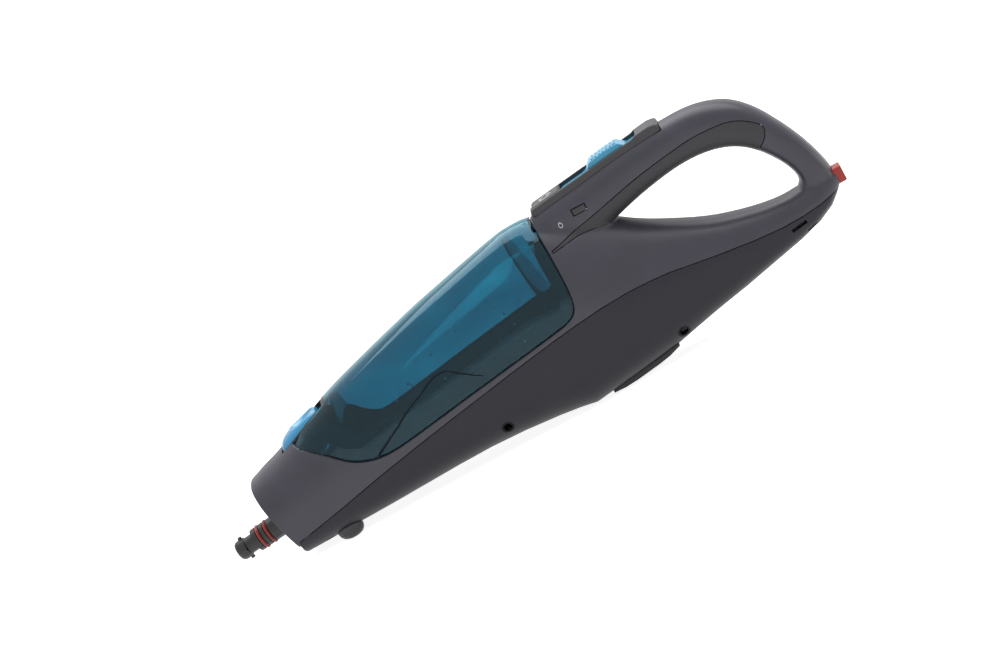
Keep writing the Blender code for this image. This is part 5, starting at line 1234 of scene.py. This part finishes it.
@dataclass
class Studio:
    """Pale floor, white surroundings and soft lamps."""

    view: View
    floor_reach: float = 40.0
    floor_level: float = -0.0004
    floor_colour: float = 0.62
    floor_lift: float = 0.89
    world_level: float = 0.32
    aim: Triple = (0.0, 0.0, 0.07)
    lamps: tuple[Lamp, ...] = (
        Lamp("top_softbox", -0.35, 1.25, -0.10, (2.2, 1.1), 20.0),
        Lamp("front_softbox", -1.1, 0.7, 1.5, (0.6, 0.9), 14.0, mirrored=False),
        Lamp("rear_strip", 1.3, 0.25, -0.15, (0.3, 1.1), 6.0),
    )

    def build(self) -> None:
        """Build the floor, the world and the lamps."""
        bpy.context.scene.view_settings.view_transform = "Standard"
        corners = ((-1, -1), (1, -1), (1, 1), (-1, 1))
        points = [(x * self.floor_reach, y * self.floor_reach, self.floor_level) for x, y in corners]
        floor = mesh_piece("studio_floor", points, [(0, 1, 2, 3)], smooth=False)
        floor.data.materials.append(self.floor_material())
        self.world()
        for lamp in self.lamps:
            lamp.build(self.view, Vector(self.aim))

    def shown(self, graph: Graph) -> Number:
        """Find the rays that show the surroundings: seen, reflected or looked through.

        Args:
            graph: The tree.

        Returns:
            One for those rays.
        """
        path = graph.node("ShaderNodeLightPath")
        seen, glossy, clear = (
            Number(graph, path.outputs[f"Is {kind} Ray"]) for kind in ("Camera", "Glossy", "Transmission")
        )
        return seen.larger(glossy).larger(clear)

    def floor_material(self) -> bpy.types.Material:
        """Pale floor that shows white where it is lit and keeps the shadow.

        Returns:
            The material.
        """
        material = bpy.data.materials.new("studio_floor")
        graph = blank(material)
        plain = graph.node("ShaderNodeBsdfDiffuse", None, {"Color": (self.floor_colour,) * 3})
        strength = self.shown(graph) * self.floor_lift
        lift = graph.node("ShaderNodeEmission", None, {"Color": WHITE, "Strength": strength})
        graph.show("ShaderNodeAddShader", {0: plain.outputs[0], 1: lift.outputs[0]})
        return material

    def world(self) -> None:
        """White surroundings for what is seen, and a plain level of light."""
        world = bpy.data.worlds.new("studio")
        bpy.context.scene.world = world
        graph = blank(world)
        level = self.shown(graph).span(0.0, 1.0, self.world_level, 1.0)
        graph.show("ShaderNodeBackground", {"Color": WHITE, "Strength": level}, "ShaderNodeOutputWorld")


# Sub-assemblies


@dataclass
class Housing:
    """The grey shells, the grip and what is fixed to them."""

    form: Form
    hull: Skin
    handle: Skin
    spacing: float = 0.0035
    fillet: float = 0.0045
    button_rounding: float = 0.0009
    vent_box: Line = ((0.1880, 0.0335), (0.2090, 0.0470))
    vent_inset: float = 0.0034
    vent_bar: float = 0.0004
    seam_box: Line = ((-0.1934, 0.0085), (-0.1885, 0.0190))
    seam_inset: float = 0.0006
    recess: Pair = (0.0043, 0.0030)
    recess_lifts: Pair = (0.00005, -0.0003)
    recess_points: int = 36
    mark_place: Pair = (0.0621, 0.1185)
    mark_size: float = 0.0021
    mark_narrow: float = 0.72
    mark_tall: Pair = (1.15, 0.85)
    mark_pinch: float = 0.55
    mark_shares: Pair = (1.0, 0.66)
    mark_lifts: Pair = (0.00006, -0.0002)
    mark_points: int = 28
    mark_side: float = -0.0155
    mark_start: float = -0.06
    mark_snap: float = 0.0015
    shells: tuple[tuple[str, str, Paint], ...] = (
        ("housing_left", "upper_shell_left", Paint.HOUSING_GREY),
        ("housing_right", "upper_shell_right", Paint.HOUSING_GREY),
        ("lower_housing_left", "lower_shell_left", Paint.LOWER_GREY),
        ("lower_housing_right", "lower_shell_right", Paint.LOWER_GREY),
        ("handle_grip", "grip_sleeve", Paint.GRIP_RUBBER),
    )
    finishes: Finishes = (
        (Paint.CONSOLE_GREY, "console_clip_left console_clip_right front_foot_left front_foot_right"),
        (Paint.GRIP_RUBBER, "belly_skid"), (Paint.SCREW_DARK, "housing_screw_front housing_screw_rear"),
        (Paint.NOZZLE_BLACK, "nose_bulkhead"), (Paint.INNER_PLASTIC, "tank_cradle"), (Paint.BUTTON_RED, "rear_button"),
    )

    def build(self) -> None:
        """Make the fine shells and dress the rest."""
        refiner = Refiner([Layer(self.hull), Layer(self.handle)], self.spacing, blend=self.fillet)
        for node, name, paint in self.shells:
            mount(refiner.copy(node, name), paint, "main")
        dress_nodes(self.finishes)
        button = rounded_copy("rear_button", "rear_button_cap", self.button_rounding)
        mount(button, Paint.BUTTON_RED, "rear_key")
        self.patches()
        self.drop_mark()
        self.recess_rings()

    def recess_rings(self) -> None:
        """A dark ring round each screw recess on the left side: painted shade of the recess."""
        outer, inner = self.recess
        proud, sunk = self.recess_lifts
        for name in ("front", "rear"):
            corners = [vert.co for vert in frame["nodes"]["housing_screw_" + name].data.vertices]
            middle = Vector([(max(c[axis] for c in corners) + min(c[axis] for c in corners)) / 2 for axis in range(3)])
            points: list[Vector] = []
            for radius, lift in ((outer, proud), (inner, proud), (inner, sunk), (outer, sunk)):
                for step in range(self.recess_points):
                    angle = math.tau * step / self.recess_points
                    x, z = middle.x + radius * math.cos(angle), middle.z + radius * math.sin(angle)
                    spot, normal = self.form.side_point(x, z, LEFT, self.hull)
                    points.append(spot + normal * lift)
            # The dark ring is painted shade where the screw recess lies in shadow.
            ring = mesh_piece("recess_ring_" + name, points, ring_faces(4, self.recess_points, closed=True))
            mount(ring, Paint.RECESS_SHADE, "main")

    def patches(self) -> None:
        """A dark sheet of thin bars inside each rear vent, which is painted shade in the vents, and a backing behind
        each seam of the nose.
        """
        for name, side in SIDES:
            # The dark vent sheet is painted shade: it stands where the vents' insides lie in shadow.
            shade_screen = self.form.lining("vent_screen_" + name, self.vent_box, self.vent_inset, side, self.vent_bar)
            mount(shade_screen, Paint.SWITCH_BLACK, "main")
            backing = self.form.lining("nose_backing_" + name, self.seam_box, self.seam_inset, side)
            mount(backing, Paint.LOWER_GREY, "main")

    def drop_mark(self) -> None:
        """A plain drop outline on the handle's left side, near its front."""
        outline = []
        above, below = self.mark_tall
        for step in range(self.mark_points):
            angle = math.tau * step / self.mark_points
            rise = math.sin(angle)
            pinch = 1.0 - self.mark_pinch * max(0.0, rise) ** 3
            outline.append((math.cos(angle) * self.mark_narrow * pinch, rise * (above if rise > 0 else below)))
        tree = surface_of("housing_left")
        (x, z), (outer, inner), (proud, sunk) = self.mark_place, self.mark_shares, self.mark_lifts
        points: list[Vector] = []
        for share, lift in ((outer, proud), (inner, proud), (inner, sunk), (outer, sunk)):
            for across, up in outline:
                start = Vector((x + across * self.mark_size * share, self.mark_start, z + up * self.mark_size * share))
                spot, _, _, _ = tree.ray_cast(start, Vector((0, 1, 0)))
                spot = spot or Vector((start.x, self.mark_side, start.z))
                finer, normal, gap = self.handle.nearest(spot)
                points.append((finer if gap < self.mark_snap else spot) + normal * lift)
        mark = mesh_piece("drop_mark", points, ring_faces(4, self.mark_points, closed=True), smooth=False)
        mount(mark, Paint.MARK_GREY, "main")


@dataclass
class Tank:
    """The clear lift-out tank with its chamfered rim, ridge, walls and drops of water."""

    form: Form
    wall: float = 0.0022
    wall_reach: float = 0.0009
    spacing: float = 0.0021
    rim_width: float = 0.0088
    rim_slope: float = 0.20
    rim_facing: float = 0.3
    tray_rise: float = 0.0125
    tray_rear: float = 0.0090
    tray_front: float = 0.0080
    tray_wall: float = 0.0007
    tray_gap: float = 0.00025
    tray_edge: float = 0.0004
    tray_limits: Pair = (-0.160, 0.122)
    rear_taper: Pair = (0.030, 0.014)
    front_taper: Pair = (-0.110, 0.026)
    gasket_span: Pair = (-0.0012, 0.0001)
    gasket_depths: Pair = (0.0003, 0.0032)
    gasket_half: float = 0.0001
    gasket_least: float = 0.001
    ridge_width: float = 0.00075
    ridge_rise: float = 0.00042
    ridge_sunk: float = 0.00035
    ridge_inset: float = 0.00015
    drop_seed: int = 5
    drop_number: int = 24
    drop_fineness: tuple[int, int] = (4, 10)
    drop_sizes: Pair = (0.0003, 0.0008)
    drop_x: Pair = (-0.115, 0.020)
    drop_z: Pair = (0.062, 0.105)
    drop_rise: float = 0.6
    drop_length: float = 1.15
    drop_gap: float = 0.00003
    water_level: float = 0.078
    water_slope: float = 0.20
    joint: Line = (
        (47.75, 84.0), (47.75, 102.0), (47.55, 105.0), (47.42, 108.0), (47.25, 111.0), (47.05, 114.0), (46.75, 117.0),
        (46.45, 120.0), (46.15, 123.0), (45.75, 126.0), (45.40, 128.5),
    )
    ridge: Line = (
        (-116.5, 43.8), (-114.0, 45.5), (-109.4, 48.4), (-100.7, 53.0), (-93.0, 57.3), (-86.2, 61.3), (-78.0, 65.2),
        (-71.3, 67.7), (-65.0, 71.0), (-59.4, 73.6), (-53.0, 74.6), (-47.6, 73.6), (-40.9, 68.6), (-28.5, 60.0),
    )
    finishes: Finishes = (
        (Paint.TANK_TRAY, "tank_base"), (Paint.TANK_INNER, "tank_baffle_front tank_baffle_rear"),
        (Paint.INNER_PLASTIC, "tank_valve"), (Paint.NOZZLE_BLACK, "filler_cap latch_bracket"),
        (Paint.STEEL, "latch_pin latch_spring"),
    )

    def build(self) -> None:
        """Make the fine shell and dress the rest."""
        line = self.form.tank_line()
        starts, runs = line[:-1], np.diff(line, axis=0)
        spans = np.maximum((runs**2).sum(axis=1), 1e-12)

        def rim(spot: Vector, normal: Vector) -> tuple[float, Vector]:
            """Press the surface in near the tank's edge.

            Args:
                spot: A point on the surface.
                normal: The surface's normal there.

            Returns:
                How deep the rim's chamfer lies there, and how it tilts the surface.
            """
            here = np.array([spot.x, spot.z])
            share = np.clip(((here - starts) * runs).sum(axis=1) / spans, 0, 1)
            reach = here - (starts + runs * share[:, None])
            gaps = np.linalg.norm(reach, axis=1)
            nearest = int(gaps.argmin())
            gap = float(gaps[nearest])
            if gap >= self.rim_width or abs(normal.y) < self.rim_facing:
                return 0.0, Vector((0, 0, 0))
            away = Vector((reach[nearest][0], 0, reach[nearest][1])).normalized()
            return (self.rim_width - gap) * self.rim_slope, away * -self.rim_slope

        outer, inner = self.form.hull_skin(), self.form.hull_skin(self.wall)
        refiner = Refiner([Layer(outer, shift=rim), Layer(inner, outward=False, reach=self.wall_reach)], self.spacing)
        mount(refiner.copy("tank_shell", "tank_bowl"), Paint.TANK_TEAL, "tank")
        dress_nodes(self.finishes)
        self.tray()
        self.ridges(outer)
        self.drops(inner)

    def tray(self) -> None:
        """The dark tray wall that lines the tank inside its chamfered rim, on both sides."""
        line = smooth_rows(self.form.tank_edge, 4) * np.array([self.form.length, self.form.height])
        line = line[(line[:, 1] < self.tray_limits[1]) & (line[:, 0] > self.tray_limits[0])]
        runs = np.gradient(line, axis=0)
        runs /= np.linalg.norm(runs, axis=1, keepdims=True)
        inward = np.stack([-runs[:, 1], runs[:, 0]], -1)
        depth = self.wall + self.tray_gap
        skins = (self.form.hull_skin(depth), self.form.hull_skin(depth + self.tray_wall))

        def reach(x: float) -> float:
            """How far the tray wall reaches into the window.

            Args:
                x: Place along the cleaner.

            Returns:
                Its reach.
            """
            behind = min(1.0, max(0.0, (x - self.rear_taper[0]) / self.rear_taper[1]))
            ahead = min(1.0, max(0.0, (self.front_taper[0] - x) / self.front_taper[1]))
            return self.tray_rise + (self.tray_rear - self.tray_rise) * behind + self.tray_front * ahead

        for name, side in SIDES:
            piece = self.form.strip("tank_tray_" + name, line, inward, skins, self.tray_edge, reach, side)
            mount(piece, Paint.TANK_TRAY, "tank")
        self.gaskets(line, inward)

    def gaskets(self, line: np.ndarray, inward: np.ndarray) -> None:
        """The black gasket in the joint between the tank and the housing, which stays in the housing.

        Args:
            line: The tank's edge, as x and z.
            inward: The way into the tank at each of its points.
        """
        skins = tuple(self.form.hull_skin(depth) for depth in self.gasket_depths)
        near, far = self.gasket_span
        pieces = [
            self.form.strip("tank_gasket_" + name, line, inward, skins, near, lambda x: far, side, 1)
            for name, side in SIDES
        ]
        points: list[Triple] = []
        for x, z in self.joint:
            x, z = x / MM_PER_M, z / MM_PER_M
            found = skins[1].tree.ray_cast(Vector((x, OUTSIDE, z)), Vector((0, -1, 0)))[0]
            half, thick = max(self.gasket_least, found.y if found else 0.0), self.gasket_half
            points += [(x - thick, -half, z), (x + thick, -half, z), (x + thick, half, z), (x - thick, half, z)]
        rows = len(self.joint)
        faces = ring_faces(rows, 4) + [(3, 2, 1, 0), tuple(rows * 4 - 4 + j for j in range(4))]
        pieces.append(mesh_piece("tank_gasket_rear", points, faces, smooth=False))
        for piece in pieces:
            mount(piece, Paint.SEAL_BLACK, "main")

    def ridges(self, skin: Skin) -> None:
        """The curved ridge on the left side of the tank, a bead in a dark opaque finish that is painted shade.

        Args:
            skin: The tank's outer surface.
        """
        places = smooth_rows(self.ridge, 4) / MM_PER_M
        found = [self.form.side_point(x, z, LEFT, skin) for x, z in places]
        line = [spot - normal * self.ridge_inset for spot, normal in found]
        normals = [normal for _, normal in found]
        piece = bead("tank_ridge", line, normals, self.ridge_width, self.ridge_rise, self.ridge_sunk)
        mount(piece, Paint.RIDGE_DARK, "tank")

    def drops(self, skin: Skin) -> None:
        """Small drops of water on the inside of the tank's walls, shown as light opaque beads that are a painted glint.

        Args:
            skin: The walls' inner surface.
        """
        chance = random.Random(self.drop_seed)
        points: list[Vector] = []
        faces: Faces = []
        rings, around = self.drop_fineness
        number = self.drop_number
        while number:
            x, z = chance.uniform(*self.drop_x), chance.uniform(*self.drop_z)
            side = chance.choice((LEFT, LEFT, RIGHT))
            if z > self.water_level + (x - self.drop_x[0]) * self.water_slope:
                continue
            number -= 1
            size = chance.uniform(*self.drop_sizes)
            spot, normal = self.form.side_point(x, z, side, skin)
            inward = -normal
            across = inward.cross(Vector((0, 0, 1))).normalized()
            up = inward.cross(across)
            spot = spot + inward * self.drop_gap
            base = len(points)
            for ring in range(rings):
                angle = math.pi / 2 * ring / rings
                width, rise = size * math.cos(angle), size * self.drop_rise * math.sin(angle)
                for step in range(around):
                    turn = math.tau * step / around
                    away = across * math.cos(turn) + up * math.sin(turn) * self.drop_length
                    points.append(spot + away * width + inward * rise)
            points.append(spot + inward * (size * self.drop_rise))
            top, last = base + rings * around, base + (rings - 1) * around
            faces += ring_faces(rings, around, base=base)
            faces += [(last + step, last + (step + 1) % around, top) for step in range(around)]
            faces.append(tuple(base + step for step in reversed(range(around))))
        mount(mesh_piece("water_drops", points, faces), Paint.DROP_GLINT, "tank")


@dataclass
class Latch:
    """The spoon-shaped lever at the tank's front, with its dished end."""

    pivot: Pair = (-0.16868, 0.073216)
    degrees: float = 24.5
    length: float = 0.0295
    thickness: float = 0.0110
    half_width: float = 0.0118
    power: float = 2.15
    dish: float = 0.0046
    dish_middle: float = 0.60
    dish_length: float = 0.36
    dish_width: float = 0.80
    dish_power: float = 0.8
    fineness: tuple[int, int] = (9, 88)
    rows: tuple[tuple[float, ...], ...] = (
        (-0.186, -0.08, 0.08, 0.80), (-0.170, -0.22, 0.22, 0.86), (-0.120, -0.38, 0.38, 0.92),
        (0.000, -0.50, 0.49, 0.97), (0.200, -0.50, 0.53, 1.00), (0.450, -0.48, 0.50, 1.00),
        (0.650, -0.43, 0.43, 0.97), (0.820, -0.37, 0.33, 0.86), (0.920, -0.30, 0.22, 0.68),
        (0.980, -0.20, 0.08, 0.45),
    )

    def directions(self) -> tuple[Vector, Vector, Vector]:
        """Find the lever's own place and directions.

        Returns:
            The pivot, the way along the lever and the way out of its top.
        """
        angle = math.radians(self.degrees)
        run, rise = Vector((math.cos(angle), 0, math.sin(angle))), Vector((-math.sin(angle), 0, math.cos(angle)))
        return Vector((self.pivot[0], 0, self.pivot[1])), run, rise

    def dished(self, spot: Vector) -> Vector:
        """The lever's surface pressed in at its broad end.

        Args:
            spot: A point on the undished surface.

        Returns:
            The point on the dished surface.
        """
        pivot, run, rise = self.directions()
        if (spot - pivot).dot(rise) < 0.0:
            return spot
        along = ((spot - pivot).dot(run) / self.length - self.dish_middle) / self.dish_length
        across = spot.y / (self.half_width * self.dish_width)
        reach = along * along + across * across
        if reach >= 1.0:
            return spot
        return spot - rise * (self.dish * (1.0 - reach) ** self.dish_power)

    def build(self) -> None:
        """Make the lever with its dish."""
        pivot, run, rise = self.directions()
        steps, around = self.fineness
        side, up = power_ring(math.tau * (np.arange(around) + 0.5) / around, self.power)
        points: list[Vector] = []
        rows = smooth_rows(self.rows, steps)
        for along, low, high, half in rows:
            middle, reach = (low + high) / 2 * self.thickness, (high - low) / 2 * self.thickness
            for across, lift in zip(side, up):
                spot = pivot + run * (along * self.length) + rise * (middle + lift * reach)
                points.append(self.dished(spot + Vector((0, across * half * self.half_width, 0))))
        faces = [(a, d, c, b) for a, b, c, d in ring_faces(len(rows), around)]
        faces.append(tuple(range(around)))
        faces.append(tuple(reversed(range((len(rows) - 1) * around, len(rows) * around))))
        piece = mesh_piece("latch_lever_skin", points, faces)
        piece.data.shade_smooth()
        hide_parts("tank_latch")
        mount(piece, Paint.LATCH_BLUE, "latch_lever")


@dataclass
class Console:
    """The dark strip in the handle's top, with its button and slider."""

    slope: Pair = (0.992965, 0.118404)
    pad_top: float = 0.1324
    ridge_rise: float = 0.0003
    rounding: float = 0.0003
    mark_x: float = 0.0608
    mark_reach: float = 0.0046
    mark_width: float = 0.0011
    mark_level: float = 0.1375
    mark_lifts: Pair = (0.00008, 0.0002)
    mark_turn: Pair = (35, 290)
    mark_steps: int = 30
    bar_ends: Pair = (0.25, 1.1)
    stroke_faces: tuple[tuple[int, ...], ...] = (
        (0, 1, 3, 2), (4, 6, 7, 5), (0, 2, 6, 4), (1, 5, 7, 3), (0, 4, 5, 1), (2, 3, 7, 6),
    )
    finishes: Finishes = (
        (Paint.CONSOLE_GREY, "console_cover power_button"), (Paint.SLIDER_BLUE, "steam_slider"),
        (Paint.SWITCH_BLACK, "power_switch steam_switch rear_switch"), (Paint.STEEL, "power_spring rear_spring"),
    )

    def build(self) -> None:
        """Dress the console and lay the power mark on its button."""
        dress_nodes(self.finishes)
        slider = rounded_copy("steam_slider", "slider_cap", self.rounding, self.lowered)
        mount(slider, Paint.SLIDER_BLUE, "steam_key")
        self.power_mark()

    def lowered(self, spot: Vector) -> Vector:
        """A point of the slider, with the tops of its ridges brought down to fine lines.

        Args:
            spot: The point.

        Returns:
            The new point.
        """
        along, up = self.slope
        rise = spot.z * along - spot.x * up
        if rise < self.pad_top + self.ridge_rise:
            return spot.copy()
        down = rise - self.pad_top - self.ridge_rise
        return spot + Vector((up * down, 0, -along * down))

    def power_mark(self) -> None:
        """An open ring with a bar in its gap, on the power button."""
        tree = surface_of("power_button")
        radii, bar = (self.mark_reach - self.mark_width, self.mark_reach), self.mark_width / 2
        first, sweep = self.mark_turn
        turns = [math.radians(first + sweep * (i / self.mark_steps)) for i in range(self.mark_steps + 1)]
        strokes = [
            [(radius * math.cos(angle), radius * math.sin(angle)) for angle in pair for radius in radii]
            for pair in zip(turns, turns[1:])
        ]
        strokes.append([(self.mark_reach * share, across) for across in (-bar, bar) for share in self.bar_ends])
        points: list[Vector] = []
        faces: Faces = []
        proud, sunk = self.mark_lifts
        for stroke in strokes:
            faces += [tuple(len(points) + corner for corner in face) for face in self.stroke_faces]
            tops = []
            for along, across in stroke:
                start = Vector((self.mark_x + along, across, OUTSIDE))
                spot, normal, _, _ = tree.ray_cast(start, Vector((0, 0, -1)))
                tops.append((spot or Vector((start.x, across, self.mark_level)), normal or Vector((0, 0, 1))))
            points += [spot + normal * proud for spot, normal in tops]
            points += [spot - normal * sunk for spot, normal in tops]
        mount(mesh_piece("power_mark", points, faces, smooth=False), Paint.MARK_GREY, "power_key")


@dataclass
class Nozzle:
    """The steam spigot in the nose and its two seals."""

    finishes: Finishes = ((Paint.NOZZLE_BLACK, "steam_spigot"), (Paint.SEAL_RED, "o_ring_front o_ring_rear"))

    def build(self) -> None:
        """Dress the spigot and its seals."""
        dress_nodes(self.finishes)


@dataclass
class Works:
    """Boiler, pump, board, hoses and the tank's port."""

    finishes: Finishes = (
        (Paint.ALUMINIUM, "boiler_body boiler_cover"), (Paint.STEEL, "heating_element thermostat steam_pipe"),
        (Paint.BRASS, "thermal_fuse pump_body"), (Paint.COPPER_WINDING, "pump_coil"),
        (Paint.SEAL_BLACK, "pump_mount port_seal"), (Paint.HOSE_SILICONE, "suction_hose pressure_hose"),
        (Paint.BOARD_GREEN, "control_board"), (Paint.SWITCH_BLACK, "wiring_loom"), (Paint.INNER_PLASTIC, "tank_port"),
    )

    def build(self) -> None:
        """Dress what is inside."""
        dress_nodes(self.finishes)


def main() -> None:
    """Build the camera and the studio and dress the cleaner."""
    view = View()
    view.build()
    Studio(view).build()
    form = Form()
    hull, handle = form.hull_skin(), form.handle_skin()
    for part in (Housing(form, hull, handle), Tank(form), Latch(), Console(), Nozzle(), Works()):
        part.build()
        log.info("%s is dressed", type(part).__name__)


if __name__ == "__main__":
    main()
